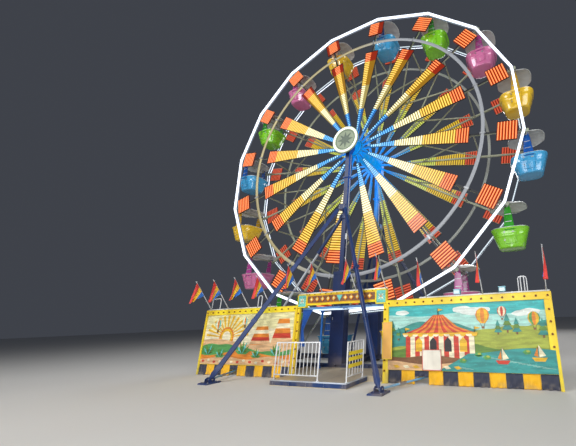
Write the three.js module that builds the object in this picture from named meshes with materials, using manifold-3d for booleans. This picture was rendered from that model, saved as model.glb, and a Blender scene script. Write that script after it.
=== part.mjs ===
// Fairground wheel with sixteen hanging tubs, its masts and legs, and its entrance front.
// Millimetres, +Z up, +X to the right, -Y towards the entrance front.
// The origin is on the ground, under the middle of the axle.
import * as THREE from 'three';
import { mergeVertices } from 'three/addons/utils/BufferGeometryUtils.js';
import Module from 'manifold-3d';

const wasm = await Module();
wasm.setup();

// Driving dimensions
const gap = 0.3;
const bite = 1;
const spokeCount = 16;
const spokeStep = (2 * Math.PI) / spokeCount;
const spokePhase = THREE.MathUtils.degToRad(14.2);
const hubHeight = 8640;
const frameY = 750;
const spokeWidth = 70;
const spokeDepth = 60;
const flangeApothem = 420;
const rimRadius = 6850;
const rimBar = 70;
const ringRadius = 5446;
const pivotRadius = 6900;
const pivotPin = 24;
const mastY = 1175;
const mastDepth = 250;
const column = { half: 88, y: 1120 };
const shaftRadius = 110;
const shaftSides = 24;
const runningGap = 0.5;
const sillTop = 240;
const sillWidth = 160;
const groundTieRadius = 26;
const padHeight = 60;
const frontFace = -2400;

const group = new THREE.Group();

// Materials
const paint = (color, roughness = 0.45, metalness = 0.1) =>
  new THREE.MeshStandardMaterial({ color, roughness, metalness });

// Solids from and to closed meshes
function solid(geometry) {
  const bare = geometry.clone();
  bare.deleteAttribute('normal');
  bare.deleteAttribute('uv');
  const merged = mergeVertices(bare, 1e-3);
  const index = merged.index
    ? Uint32Array.from(merged.index.array)
    : Uint32Array.from({ length: merged.attributes.position.count }, (_, i) => i);
  const mesh = new wasm.Mesh({
    numProp: 3,
    vertProperties: Float32Array.from(merged.attributes.position.array),
    triVerts: index,
  });
  mesh.merge();
  return new wasm.Manifold(mesh);
}

function geometryOf(manifold) {
  const mesh = manifold.getMesh();
  const geometry = new THREE.BufferGeometry();
  geometry.setAttribute('position', new THREE.BufferAttribute(mesh.vertProperties, 3));
  geometry.setIndex(new THREE.BufferAttribute(mesh.triVerts, 1));
  geometry.computeVertexNormals();
  return geometry;
}

const fuse = (geometries) =>
  geometries.map(solid).reduce((sum, piece) => sum.add(piece));

const cut = (manifold, geometries) =>
  geometries.map(solid).reduce((rest, piece) => rest.subtract(piece), manifold);

// Basic shapes
function block(x0, x1, y0, y1, z0, z1) {
  const geometry = new THREE.BoxGeometry(x1 - x0, y1 - y0, z1 - z0);
  return geometry.translate((x0 + x1) / 2, (y0 + y1) / 2, (z0 + z1) / 2);
}

function between(geometry, from, to) {
  const a = new THREE.Vector3(...from);
  const b = new THREE.Vector3(...to);
  const along = b.clone().sub(a).normalize();
  const turn = new THREE.Quaternion().setFromUnitVectors(new THREE.Vector3(0, 0, 1), along);
  const middle = a.add(b).multiplyScalar(0.5);
  return geometry.applyQuaternion(turn).translate(middle.x, middle.y, middle.z);
}

const distance = (from, to) => new THREE.Vector3(...from).distanceTo(new THREE.Vector3(...to));

const bar = (from, to, width, depth) =>
  between(new THREE.BoxGeometry(width, depth, distance(from, to)), from, to);

// A beam whose deeper side stands upright
function beam(from, to, across, deep) {
  const a = new THREE.Vector3(...from);
  const run = new THREE.Vector3(...to).sub(a);
  const rise = Math.atan2(run.z, Math.hypot(run.x, run.y));
  const middle = a.addScaledVector(run, 0.5);
  const geometry = new THREE.BoxGeometry(run.length(), across, deep);
  geometry.rotateY(-rise).rotateZ(Math.atan2(run.y, run.x));
  return geometry.translate(middle.x, middle.y, middle.z);
}

const tube = (from, to, radius, sides = 8) =>
  between(
    new THREE.CylinderGeometry(radius, radius, distance(from, to), sides).rotateX(Math.PI / 2),
    from,
    to,
  );

// A cylinder lying along Y
const axleDrum = (radius, y0, y1, sides = 24) =>
  new THREE.CylinderGeometry(radius, radius, y1 - y0, sides).translate(0, (y0 + y1) / 2, 0);

// A flat ring in the XZ plane, with its corners on the spoke lines
function flatRing(inner, outer, y0, y1, sides) {
  const corner = (radius, i) => {
    const angle = spokePhase + (i * 2 * Math.PI) / sides;
    return new THREE.Vector2(radius * Math.cos(angle), radius * Math.sin(angle));
  };
  const places = Array.from({ length: sides }, (_, i) => i);
  const shape = new THREE.Shape(places.map((i) => corner(outer, i)));
  shape.holes.push(new THREE.Path(places.map((i) => corner(inner, i))));
  const geometry = new THREE.ExtrudeGeometry(shape, { depth: y1 - y0, bevelEnabled: false });
  return geometry.rotateX(Math.PI / 2).translate(0, y1, 0);
}

// A plate drawn in the XZ plane and thickened along Y
function plate(points, y0, y1) {
  const shape = new THREE.Shape(points.map(([x, z]) => new THREE.Vector2(x, z)));
  const geometry = new THREE.ExtrudeGeometry(shape, { depth: y1 - y0, bevelEnabled: false });
  return geometry.rotateX(Math.PI / 2).translate(0, y1, 0);
}

function add(name, manifold, material, place = [0, 0, 0], turn = [0, 0, 0]) {
  const mesh = new THREE.Mesh(geometryOf(manifold), material);
  mesh.name = name;
  mesh.position.set(...place);
  mesh.rotation.set(...turn);
  group.add(mesh);
}

const number = (i) => String(i + 1).padStart(2, '0');
const sides = [['front', -1], ['rear', 1]];
const axle = [0, 0, hubHeight];
const span = (sign, a, b) => (sign < 0 ? [-b, -a] : [a, b]);

// Hub: drum, two flanges with a flat for every spoke, and the shaft
function makeHub() {
  const drumRadius = 300;
  const flangeIn = 700;
  const flangeOut = 800;
  const shaftEnd = mastY + mastDepth / 2 - 10;
  const flangeRadius = flangeApothem / Math.cos(spokeStep / 2);
  const flange = (y0, y1) => {
    const cylinder = new THREE.CylinderGeometry(flangeRadius, flangeRadius, y1 - y0, spokeCount);
    const halfFlat = Math.PI / 2 + spokeStep / 2 - spokePhase;
    return cylinder.rotateY(halfFlat).translate(0, (y0 + y1) / 2, 0);
  };
  const hub = fuse([
    axleDrum(drumRadius, -flangeIn - bite, flangeIn + bite, 16),
    flange(-flangeOut, -flangeIn),
    flange(flangeIn, flangeOut),
    axleDrum(shaftRadius, -shaftEnd, shaftEnd, shaftSides),
  ]);
  add('hub', hub, paint('#1f7fd6'), axle);
}

// One spoke frame, drawn with its spokes along +X: front and rear spokes, light trays, a tie,
// a crossed brace and the pin that carries a tub
function makeSpokeFrame() {
  const start = flangeApothem + gap;
  const rimInner = rimRadius - rimBar / 2;
  const end = rimInner - (spokeWidth / 2) * Math.tan(spokeStep / 2) - gap;
  const tray = { from: 800, to: 4960, narrow: 110, wide: 660, thick: 26 };
  const panel = { from: 5950, to: 6620, width: 740 };
  const tie = { radius: 5100, size: 45 };
  const braceFoot = 2500;
  const ear = { from: 6500, to: 6990, width: 120, in: 690 };
  const face = frameY + spokeDepth / 2;
  const back = frameY - spokeDepth / 2;
  const pieces = [];
  for (const [, sign] of sides) {
    const spokeY = span(sign, back, face);
    const trayY = span(sign, face - bite, face + tray.thick);
    const earY = span(sign, ear.in, back + bite);
    pieces.push(block(start, end, ...spokeY, -spokeWidth / 2, spokeWidth / 2));
    pieces.push(plate([
      [tray.from, -tray.narrow / 2],
      [tray.to, -tray.wide / 2],
      [tray.to, tray.wide / 2],
      [tray.from, tray.narrow / 2],
    ], ...trayY));
    pieces.push(block(panel.from, panel.to, ...trayY, -panel.width / 2, panel.width / 2));
    pieces.push(block(ear.from, ear.to, ...earY, -ear.width / 2, ear.width / 2));
    pieces.push(bar([tie.radius, sign * frameY, 0], [braceFoot, -sign * frameY, 0], tie.size, tie.size));
  }
  pieces.push(bar([tie.radius, -frameY, 0], [tie.radius, frameY, 0], tie.size, tie.size));
  pieces.push(axleDrum(pivotPin, -ear.in - bite, ear.in + bite, 8).translate(pivotRadius, 0, 0));
  return fuse(pieces);
}

function makeWheel() {
  makeHub();
  const frame = makeSpokeFrame();
  for (let i = 0; i < spokeCount; i += 1) {
    const turn = [0, -(spokePhase + i * spokeStep), 0];
    add(`spoke_frame_${number(i)}`, frame, paint('#aeb5a4'), axle, turn);
  }
  const rimHalf = 28;
  const ringBar = { front: 140, rear: 120 };
  const ringDepth = 50;
  const ringSides = 32;
  const ringIn = frameY + spokeDepth / 2 + gap;
  for (const [name, sign] of sides) {
    const rimY = span(sign, frameY - rimHalf, frameY + rimHalf);
    const rim = flatRing(rimRadius - rimBar / 2, rimRadius + rimBar / 2, ...rimY, spokeCount);
    add(`${name}_rim`, solid(rim), paint('#d9dde2'), axle);
    const half = ringBar[name] / 2;
    const ringY = span(sign, ringIn, ringIn + ringDepth);
    const ring = flatRing(ringRadius - half, ringRadius + half, ...ringY, ringSides);
    add(`${name}_inner_ring`, solid(ring), paint('#b9bcae'), axle);
  }
}

// One tub, drawn from its pivot: tapered bowl with two benches, two hangers and a canopy
function makeCabin() {
  const tub = { halfX: 620, halfY: 510, top: -740, bottom: -1400, wall: 30, floor: 40, taper: 0.68 };
  const roof = { overhang: 25, eave: 50, crown: 230, crownShare: 0.45 };
  const sideCount = 8;
  const eightSided = (grow, z0, z1, lowShare, highShare) => {
    const halfSide = Math.PI / sideCount;
    const corner = 1 / Math.cos(halfSide);
    const shape = new THREE.CylinderGeometry(corner * highShare, corner * lowShare, z1 - z0, sideCount);
    shape.rotateY(halfSide).rotateX(Math.PI / 2);
    return shape.scale(tub.halfX + grow, tub.halfY + grow, 1).translate(0, 0, (z0 + z1) / 2);
  };
  const outer = eightSided(0, tub.bottom, tub.top, tub.taper, 1);
  const inner = eightSided(
    -tub.wall, tub.bottom + tub.floor, tub.top + tub.floor, tub.taper, 1,
  );
  const bench = { in: 260, out: 520, half: 370, top: -1020 };
  const benches = fuse([-1, 1].map((sign) => {
    const x = span(sign, bench.in, bench.out);
    return block(...x, -bench.half, bench.half, tub.bottom + tub.floor - bite, bench.top);
  })).intersect(solid(outer));
  const hanger = { in: 478, out: 503, top: 62, neck: 70, foot: 150, lap: 120 };
  const boreSides = 10;
  const boreRadius = (pivotPin + runningGap) / Math.cos(Math.PI / boreSides);
  const hangers = sides.map(([, sign]) => plate([
    [-hanger.foot, tub.top - hanger.lap],
    [hanger.foot, tub.top - hanger.lap],
    [hanger.neck, hanger.top],
    [-hanger.neck, hanger.top],
  ], ...span(sign, hanger.in, hanger.out)));
  const canopy = eightSided(roof.overhang, roof.eave, roof.crown, 1, roof.crownShare);
  const shell = cut(solid(outer), [inner]).add(benches);
  const whole = shell.add(fuse([...hangers, canopy]));
  return cut(whole, [axleDrum(boreRadius, -tub.halfX, tub.halfX, boreSides)]);
}

function makeCabins() {
  const colours = ['#e2ae1c', '#c2417f', '#3f9a1d', '#1f6fb8'];
  const cabin = makeCabin();
  for (let i = 0; i < spokeCount; i += 1) {
    const angle = spokePhase + i * spokeStep;
    const place = [pivotRadius * Math.cos(angle), 0, hubHeight + pivotRadius * Math.sin(angle)];
    add(`tub_${number(i)}`, cabin, paint(colours[i % colours.length], 0.35), place);
  }
}

// Base frame of sills and cross beams on ground pads
function makeBase() {
  const sillHalf = 4050;
  const crossX = [-3900, 0, 3900];
  const crossHalf = 75;
  const crossDrop = 20;
  const padHalf = { sill: 250, middle: 200 };
  const pieces = [];
  for (const [, sign] of sides) {
    const y = sign * mastY;
    pieces.push(block(-sillHalf, sillHalf, y - sillWidth / 2, y + sillWidth / 2, padHeight, sillTop));
    for (const x of crossX) {
      const padX = [x - padHalf.sill, x + padHalf.sill];
      pieces.push(block(...padX, y - sillWidth / 2, y + sillWidth / 2, 0, padHeight + bite));
    }
  }
  for (const x of crossX) {
    pieces.push(block(x - crossHalf, x + crossHalf, -mastY, mastY, padHeight, sillTop - crossDrop));
  }
  const middle = [-padHalf.middle, padHalf.middle];
  pieces.push(block(...middle, ...middle, 0, padHeight + bite));
  add('base_frame', fuse(pieces), paint('#23345f'));
}

// Masts, one before and one behind the wheel, each with a bearing head and a leg bracket
const legBracket = { half: 150, low: 5650, high: 5850, out: 1380 };

function makeMasts() {
  const towerHalf = { x: 260, y: 130 };
  const towerTop = 3300;
  const head = { half: 230, low: hubHeight - 300, high: hubHeight + 260 };
  const boreRadius = (shaftRadius + runningGap) / Math.cos(Math.PI / shaftSides);
  for (const [name, sign] of sides) {
    const y = sign * mastY;
    const near = y - mastDepth / 2;
    const far = y + mastDepth / 2;
    const towerY = span(sign, column.y - towerHalf.y, column.y + towerHalf.y);
    const columnY = span(sign, column.y - column.half, column.y + column.half);
    const bracketY = span(sign, mastY, legBracket.out);
    const bracket = block(-legBracket.half, legBracket.half, ...bracketY, legBracket.low, legBracket.high);
    const body = fuse([
      block(-towerHalf.x, towerHalf.x, ...towerY, sillTop + gap, towerTop),
      block(-column.half, column.half, ...columnY, towerTop - bite, head.low + bite),
      block(-head.half, head.half, near, far, head.low, head.high),
      bracket,
    ]);
    const bore = axleDrum(boreRadius, near - bite, far + bite, shaftSides);
    bore.rotateY(Math.PI / shaftSides).translate(0, 0, hubHeight);
    add(`${name}_mast`, cut(body, [bore]), paint('#1d2f5c'));
  }
}

// Legs that run out from the masts to their feet, and the bar along the ground at each front foot
function makeLegs() {
  const foot = { y: 3340, half: 190, plate: 40 };
  const knuckle = { half: 90, high: 110 };
  const top = { x: 100, y: 1340, z: 5760 };
  const leg = { across: 104, deep: 160 };
  const clearAbove = 400;
  const groundTie = { from: 90, run: 1130, end: [-mastY - sillWidth / 2 - gap - 12, 150] };
  for (const [name, sign] of sides) {
    const bracketY = span(sign, mastY, legBracket.out + gap);
    const keepOut = block(
      -legBracket.half - gap, legBracket.half + gap,
      ...bracketY,
      legBracket.low - gap, legBracket.high + clearAbove,
    );
    for (const [hand, side, x] of [['left', -1, -2600], ['right', 1, 2870]]) {
      const y = sign * foot.y;
      const pieces = [
        beam([side * top.x, sign * top.y, top.z], [x, y, 2.5 * foot.plate], leg.across, leg.deep),
        block(x - foot.half, x + foot.half, y - foot.half, y + foot.half, 0, foot.plate),
        block(
          x - knuckle.half, x + knuckle.half,
          y - knuckle.half, y + knuckle.half,
          foot.plate - bite, foot.plate + knuckle.high,
        ),
      ];
      if (sign < 0) {
        const tieEnd = [x + side * groundTie.run, ...groundTie.end];
        pieces.push(tube([x, y, groundTie.from], tieEnd, groundTieRadius, 8));
      }
      add(`${name}_${hand}_leg`, cut(fuse(pieces), [keepOut]), paint('#1f3a78'));
    }
  }
}

// A telescopic prop beside each mast, from a collar on the column down to the left end of the sill
function makeProps() {
  const inner = column.half + gap;
  const collar = { half: 130, low: 5330, high: 5520, out: 150 };
  const seat = { x: -3900, z: sillTop + gap, half: 80, depth: 60, high: 140, pin: 90 };
  const barrel = { radius: 62, share: 0.26, lap: 0.1 };
  const rodRadius = 40;
  for (const [name, sign] of sides) {
    const y = sign * mastY;
    const collarY = span(sign, column.y - collar.half, column.y + collar.half);
    const holeY = span(sign, column.y - inner, column.y + inner);
    const high = [-collar.out, sign * column.y, (collar.low + collar.high) / 2];
    const low = [seat.x, y, seat.z + seat.pin];
    const joint = high.map((value, i) => value + (low[i] - value) * barrel.share);
    const inside = joint.map((value, i) => value + (high[i] - value) * barrel.lap);
    const seatX = [seat.x - seat.half, seat.x + seat.half];
    const pieces = [
      block(-collar.half, collar.half, ...collarY, collar.low, collar.high),
      tube(high, joint, barrel.radius, 10),
      tube(inside, low, rodRadius, 8),
      block(...seatX, y - seat.depth, y + seat.depth, seat.z, seat.z + seat.high),
    ];
    const hole = block(-inner, inner, ...holeY, collar.low - bite, collar.high + bite);
    add(`${name}_prop`, cut(fuse(pieces), [hole]), paint('#2b3f73'));
  }
}

// Round light panel on the front mast's head
function makeHubLight() {
  const radius = 595;
  const bossHalf = 120;
  const mastFace = -mastY - mastDepth / 2;
  const discBack = mastFace - 50;
  const discFront = discBack - 70;
  const disc = axleDrum(radius, discFront, discBack, 32);
  const boss = block(-bossHalf, bossHalf, discBack - bite, mastFace - gap, -bossHalf, bossHalf);
  add('hub_light', fuse([disc, boss]), paint('#e9ecd9', 0.4, 0), axle);
}

// Entrance front: two picture panels, a portal between them, cloth skirts and pennants
const frontTop = 2100;
const panelThick = 50;
const skirtTop = 330;
const portal = { left: -600, right: 2530, post: 100, headLow: 2080, headHigh: 2430, depth: 60 };

function makePanel(name, x0, x1) {
  const post = 70;
  const stay = { count: 3, size: 50, high: 1700, reach: 560, foot: 40 };
  const footPlate = { half: 60, near: 500, far: 640, high: 50 };
  const slitSpan = x0 < 0 ? [-3190, -3040] : [3310, 3460];
  const slitTop = 180;
  const back = frontFace + panelThick;
  const pieces = [
    block(x0, x1, frontFace, back, skirtTop, frontTop),
    block(x0, x0 + post, frontFace, back, 0, skirtTop + bite),
    block(x1 - post, x1, frontFace, back, 0, skirtTop + bite),
  ];
  for (let i = 0; i < stay.count; i += 1) {
    const x = x0 + ((x1 - x0) * (i + 0.5)) / stay.count;
    pieces.push(bar([x, back - 10, stay.high], [x, back + stay.reach, stay.foot], stay.size, stay.size));
    pieces.push(block(
      x - footPlate.half, x + footPlate.half,
      back + footPlate.near, back + footPlate.far,
      0, footPlate.high,
    ));
  }
  add(`${name}_panel`, fuse(pieces), paint('#e8b71a'));
  const skirt = block(x0 + post + gap, x1 - post - gap, frontFace + 8, frontFace + 20, 10, skirtTop - gap);
  const slit = block(...slitSpan, frontFace, back, 0, slitTop);
  add(`${name}_skirt`, cut(solid(skirt), [slit]), paint('#28324f', 0.8, 0));
}

function makePortal() {
  const { left, right, post, headLow, headHigh } = portal;
  const back = frontFace + portal.depth;
  const corner = 350;
  const proud = 15;
  const drop = 60;
  const pieces = [
    block(left, left + post, frontFace, back, 0, headHigh),
    block(right - post, right, frontFace, back, 0, headHigh),
    block(left, right, frontFace, back, headLow, headHigh),
    block(left, left + corner, frontFace - proud, back, headLow - drop, headHigh),
    block(right - corner, right, frontFace - proud, back, headLow - drop, headHigh),
  ];
  add('entrance_portal', fuse(pieces), paint('#f0c420'));
}

function makeCanopy() {
  const y0 = frontFace + portal.depth + gap;
  const y1 = -1420;
  const low = 1960;
  const high = 2040;
  const inset = 110;
  const postSize = 70;
  const postX = [portal.left + 150, deck.rearRight - 50];
  const pieces = [block(portal.left + inset, portal.right - inset, y0, y1, low, high)];
  for (const x of postX) {
    pieces.push(block(x - postSize / 2, x + postSize / 2, y1 - postSize, y1, deckTop + gap, low + bite));
  }
  add('entrance_canopy', fuse(pieces), paint('#f2f4f8', 0.5, 0));
}

// Deck through the portal and along the wheel, and the fences on its edges
const deckTop = 140;
const deck = {
  left: portal.left + portal.post + gap,
  right: 1900,
  front: -3200,
  rearLeft: -1150,
  rearRight: 2300,
  rearFront: -2290,
  back: -mastY - sillWidth / 2 - gap,
};

function makeDeck() {
  const slab = fuse([
    block(deck.left, deck.right, deck.front, deck.rearFront + bite, 0, deckTop),
    block(deck.rearLeft, deck.rearRight, deck.rearFront, deck.back, 0, deckTop),
  ]);
  add('boarding_deck', slab, paint('#2a3552', 0.6));
}

// A fence drawn along +X from the origin
function fence(length) {
  const height = 950;
  const railSize = 36;
  const barSize = 18;
  const low = 110;
  const pitch = 120;
  const pieces = [
    block(0, railSize, -railSize / 2, railSize / 2, gap, height),
    block(length - railSize, length, -railSize / 2, railSize / 2, gap, height),
    block(0, length, -railSize / 2, railSize / 2, height - railSize, height),
    block(0, length, -railSize / 2, railSize / 2, low, low + railSize),
  ];
  const bars = Math.round(length / pitch) - 1;
  for (let i = 1; i <= bars; i += 1) {
    const x = (length * i) / (bars + 1);
    pieces.push(block(x - barSize / 2, x + barSize / 2, -barSize / 2, barSize / 2, low, height - bite));
  }
  return fuse(pieces);
}

function makeFences() {
  const inset = 45;
  const white = paint('#eef0f2', 0.4);
  const frontEnd = 1020;
  const sideEnd = frontFace - 30;
  const start = deck.left + inset;
  add('front_fence', fence(frontEnd - start), white, [start, deck.front + inset, deckTop]);
  const sideRun = sideEnd - (deck.front + inset);
  const corner = [deck.right - inset, deck.front + inset, deckTop];
  add('side_fence', fence(sideRun), white, corner, [0, 0, Math.PI / 2]);
}

// Rail along the top of a panel with its leaning poles, each with a pennant that hangs from it
function makePennants(name, x0, x1, top, poleX) {
  const y = frontFace + panelThick / 2;
  const z = top + gap;
  const rail = 40;
  const lean = { y: -650, z: 950 };
  const pole = 24;
  const flag = { thick: 12, hoist: 0.46, drop: 700, tail: 200 };
  const pieces = [block(x0, x1, y - rail / 2, y + rail / 2, z, z + rail)];
  for (const x of poleX) {
    const foot = z + rail / 2;
    pieces.push(bar([x, y, foot], [x, y + lean.y, foot + lean.z], pole, pole));
    const tip = new THREE.Vector2(y + lean.y, foot + lean.z);
    const held = new THREE.Vector2(tip.x - lean.y * flag.hoist, tip.y - lean.z * flag.hoist);
    const shape = new THREE.Shape([
      tip,
      new THREE.Vector2(tip.x, tip.y - flag.drop),
      new THREE.Vector2(held.x, held.y - flag.tail),
      held,
    ]);
    const cloth = new THREE.ExtrudeGeometry(shape, { depth: flag.thick, bevelEnabled: false });
    cloth.rotateX(Math.PI / 2).rotateZ(Math.PI / 2);
    pieces.push(cloth.translate(x - flag.thick / 2, 0, 0));
  }
  add(`${name}_pennants`, fuse(pieces), paint('#c8352b', 0.8, 0));
}

makeWheel();
makeCabins();
makeBase();
makeMasts();
makeLegs();
makeProps();
makeHubLight();
makePanel('left', -4700, portal.left - gap);
makePanel('right', portal.right + gap, 6770);
makePortal();
makeDeck();
makeCanopy();
makeFences();
makePennants('left', -4680, -1500, frontTop, [-4560, -3700, -2720, -1760]);
makePennants('portal', portal.left, portal.right, portal.headHigh, [-580, 280, 1500, 2480]);
makePennants('right', 3500, 6750, frontTop, [3700, 5200, 6680]);

export default group;
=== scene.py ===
import math
import random
from itertools import product

import bmesh
import bpy
from mathutils import Matrix, Vector


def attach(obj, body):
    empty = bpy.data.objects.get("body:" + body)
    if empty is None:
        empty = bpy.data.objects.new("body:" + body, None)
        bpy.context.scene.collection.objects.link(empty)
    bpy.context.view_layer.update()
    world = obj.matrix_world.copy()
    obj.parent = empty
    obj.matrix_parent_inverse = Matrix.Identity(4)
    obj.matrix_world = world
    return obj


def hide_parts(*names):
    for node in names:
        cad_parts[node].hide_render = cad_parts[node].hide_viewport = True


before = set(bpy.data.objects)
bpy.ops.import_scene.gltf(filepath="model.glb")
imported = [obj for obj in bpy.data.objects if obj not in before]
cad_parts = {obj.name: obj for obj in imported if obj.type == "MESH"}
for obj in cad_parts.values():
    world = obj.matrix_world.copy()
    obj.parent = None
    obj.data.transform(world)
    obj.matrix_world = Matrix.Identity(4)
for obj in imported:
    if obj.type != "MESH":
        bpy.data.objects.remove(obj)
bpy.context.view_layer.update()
rng = random.Random(16)
print("frame loaded,", len(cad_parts), "nodes")

# The wheel, in metres and degrees
wheel = {"hub": 8.64, "spokes": 16, "phase": 14.2, "rim": 6.85, "pivot": 6.9, "face": 0.78, "tray": 0.806}
step = 360 / wheel["spokes"]
axle = Vector((0, 0, wheel["hub"]))
everyone = range(wheel["spokes"])
up = Vector((0, 0, 1))
planes = (("front", -1), ("rear", 1))


# Camera
shot = {
    "place": (6.309, -9.276, 1.6),
    "lens": 17.02,
    "turn": 18.59,
    "rise": 15.24,
    "roll": -1.97,
    "shift": (-0.255, 0.035),
    "farthest": 400,
}


def makeCamera():
    turn, rise, roll = (math.radians(shot[key]) for key in ("turn", "rise", "roll"))
    level = Vector((-math.sin(turn), math.cos(turn), 0))
    side = Vector((math.cos(turn), math.sin(turn), 0))
    ahead = level * math.cos(rise) + up * math.sin(rise)
    top = up * math.cos(rise) - level * math.sin(rise)
    right = side * math.cos(roll) + top * math.sin(roll)
    crown = top * math.cos(roll) - side * math.sin(roll)
    data = bpy.data.cameras.new("camera")
    data.lens = shot["lens"]
    data.shift_x, data.shift_y = shot["shift"]
    data.clip_end = shot["farthest"]
    camera = bpy.data.objects.new("camera", data)
    turned = Matrix((right, crown, -ahead)).transposed().to_4x4()
    camera.matrix_world = Matrix.Translation(shot["place"]) @ turned
    bpy.context.collection.objects.link(camera)
    bpy.context.scene.camera = camera


makeCamera()


# A socket that takes part in ordinary sums
class Wire:
    def __init__(self, coat, socket):
        self.coat = coat
        self.socket = socket

    def work(self, operation, first, second=0.0):
        return self.coat.node("ShaderNodeMath", {"operation": operation}, {0: first, 1: second})

    def __add__(self, other):
        return self.work("ADD", self, other)

    def __radd__(self, other):
        return self.work("ADD", other, self)

    def __sub__(self, other):
        return self.work("SUBTRACT", self, other)

    def __rsub__(self, other):
        return self.work("SUBTRACT", other, self)

    def __mul__(self, other):
        return self.work("MULTIPLY", self, other)

    def __rmul__(self, other):
        return self.work("MULTIPLY", other, self)

    def __gt__(self, other):
        return self.work("GREATER_THAN", self, other)

    def __lt__(self, other):
        return self.work("LESS_THAN", self, other)

    def __mod__(self, other):
        return self.work("FLOORED_MODULO", self, other)

    def __abs__(self):
        return self.work("ABSOLUTE", self)


# A material and the means to add to it
class Coat:
    def __init__(self, name, colour, roughness=0.5, metallic=0.0, **fixed):
        self.material = bpy.data.materials.new(name)
        self.material.use_nodes = True
        self.tree = self.material.node_tree
        self.shader = self.tree.nodes["Principled BSDF"]
        self.colour = colour
        self.set({"Base Color": colour, "Roughness": roughness, "Metallic": metallic, **fixed})

    def feed(self, socket, value):
        if isinstance(value, Wire):
            self.tree.links.new(value.socket, socket)
        elif socket.type == "RGBA":
            socket.default_value = (*value, 1)
        else:
            socket.default_value = value

    def set(self, values):
        for name, value in values.items():
            self.feed(self.shader.inputs[name], value)

    def node(self, kind, settings, sockets, output=0):
        made = self.tree.nodes.new(kind)
        for name, value in settings.items():
            setattr(made, name, value)
        for name, value in sockets.items():
            self.feed(made.inputs[name], value)
        return Wire(self, made.outputs[output])

    def vector(self, operation, sockets, output=0):
        return self.node("ShaderNodeVectorMath", {"operation": operation}, sockets, output)

    def spot(self, kind="Object"):
        return self.node("ShaderNodeTexCoord", {}, {}, kind)

    def axis(self, letter, kind="Object"):
        return self.node("ShaderNodeSeparateXYZ", {}, {0: self.spot(kind)}, letter)

    def outward(self):
        # distance from the axle's line
        middle = self.vector("SUBTRACT", {0: self.spot(), 1: tuple(axle)})
        flat = self.vector("MULTIPLY", {0: middle, 1: (1, 0, 1)})
        return self.vector("LENGTH", {0: flat}, "Value")

    def noise(self, scale, detail, scales=(1, 1, 1)):
        where = self.vector("MULTIPLY", {0: self.spot(), 1: scales})
        return self.node("ShaderNodeTexNoise", {}, {"Vector": where, "Scale": scale, "Detail": detail})

    def cells(self, scale):
        return self.node("ShaderNodeTexVoronoi", {}, {"Vector": self.spot(), "Scale": scale}, "Distance")

    def rise(self, value, low, high):
        settings = {"interpolation_type": "SMOOTHSTEP"}
        return self.node("ShaderNodeMapRange", settings, {"Value": value, "From Min": low, "From Max": high})

    def carried(self, name, output):
        # what the mesh itself carries: a colour on each face, or a length along a row
        return self.node("ShaderNodeAttribute", {"attribute_name": name}, {}, output)

    def dim(self, colour, share):
        return self.vector("SCALE", {0: colour, "Scale": share})

    def mix(self, share, low, high):
        return self.node("ShaderNodeMix", {"data_type": "RGBA"}, {0: share, 6: low, 7: high}, 2)

    def bump(self, height, depth):
        normal = self.node("ShaderNodeBump", {}, {"Height": height, "Distance": depth}, "Normal")
        self.set({"Normal": normal})

    def overlay(self, share, colour):
        # lays a second colour over what the finish already has
        base = Wire(self, self.shader.inputs["Base Color"].links[0].from_socket)
        self.set({"Base Color": self.mix(share, base, colour)})

    def glow(self, colour, strength):
        self.set({"Emission Color": colour, "Emission Strength": strength})
        self.material.cycles.emission_sampling = "NONE"


def shade(colour, share):
    return tuple(max(0.0, min(1.0, part * share)) for part in colour)


def toward(colour, other, share):
    return tuple(a + (b - a) * share for a, b in zip(colour, other))


# Finishes
rust = (0.17, 0.08, 0.045)
grime = (0.20, 0.17, 0.13)
mudBrown = (0.24, 0.19, 0.13)
dustBrown = (0.36, 0.29, 0.19)
wornBrown = (0.30, 0.23, 0.15)
scuffGrey = (0.75, 0.73, 0.68)


def enamel(name, colour, gloss=0.34, streaks=0.35):
    # brushed-on paint over steel: cloudy colour, chips down to primer, dirt low down
    coat = Coat(name, colour, gloss, 0.0, **{"Coat Weight": 0.12, "Coat Roughness": 0.25})
    cloud = coat.noise(0.8, 5.0)
    fine = coat.noise(22.0, 6.0)
    paint = coat.mix(coat.rise(cloud, 0.35, 0.7), shade(colour, 0.78), shade(colour, 1.18))
    streak = coat.noise(5.0, 3.0, (1, 1, 0.12))
    paint = coat.mix(coat.rise(streak, 0.55, 0.8) * streaks, paint, toward(colour, grime, 0.6))
    chips = coat.rise(fine, 0.73, 0.79) * coat.rise(cloud, 0.5, 0.62)
    paint = coat.mix(chips, paint, rust)
    mud = coat.rise(coat.axis("Z"), 0.75, 0.0) * coat.rise(coat.noise(3.0, 6.0), 0.36, 0.66)
    paint = coat.mix(mud * 0.55, paint, mudBrown)
    coat.set({"Base Color": paint, "Roughness": gloss + fine * 0.22 + mud * 0.25})
    coat.bump(fine * 0.5 + chips * -0.8, 0.0012)
    return coat


def fibreglass(name, colour):
    # gel coat with a few scuffs and a slight orange peel
    coat = Coat(name, colour, 0.22, 0.0, **{"Coat Weight": 0.6, "Coat Roughness": 0.08})
    cloud = coat.noise(2.2, 3.0)
    scuff = coat.noise(9.0, 8.0, (1, 1, 0.2))
    paint = coat.mix(cloud, shade(colour, 0.85), shade(colour, 1.12))
    marks = coat.rise(scuff, 0.62, 0.74)
    paint = coat.mix(marks * 0.4, paint, toward(colour, scuffGrey, 0.5))
    coat.set({"Base Color": paint, "Roughness": 0.2 + marks * 0.35})
    coat.bump(coat.noise(60.0, 2.0), 0.0006)
    return coat


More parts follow.
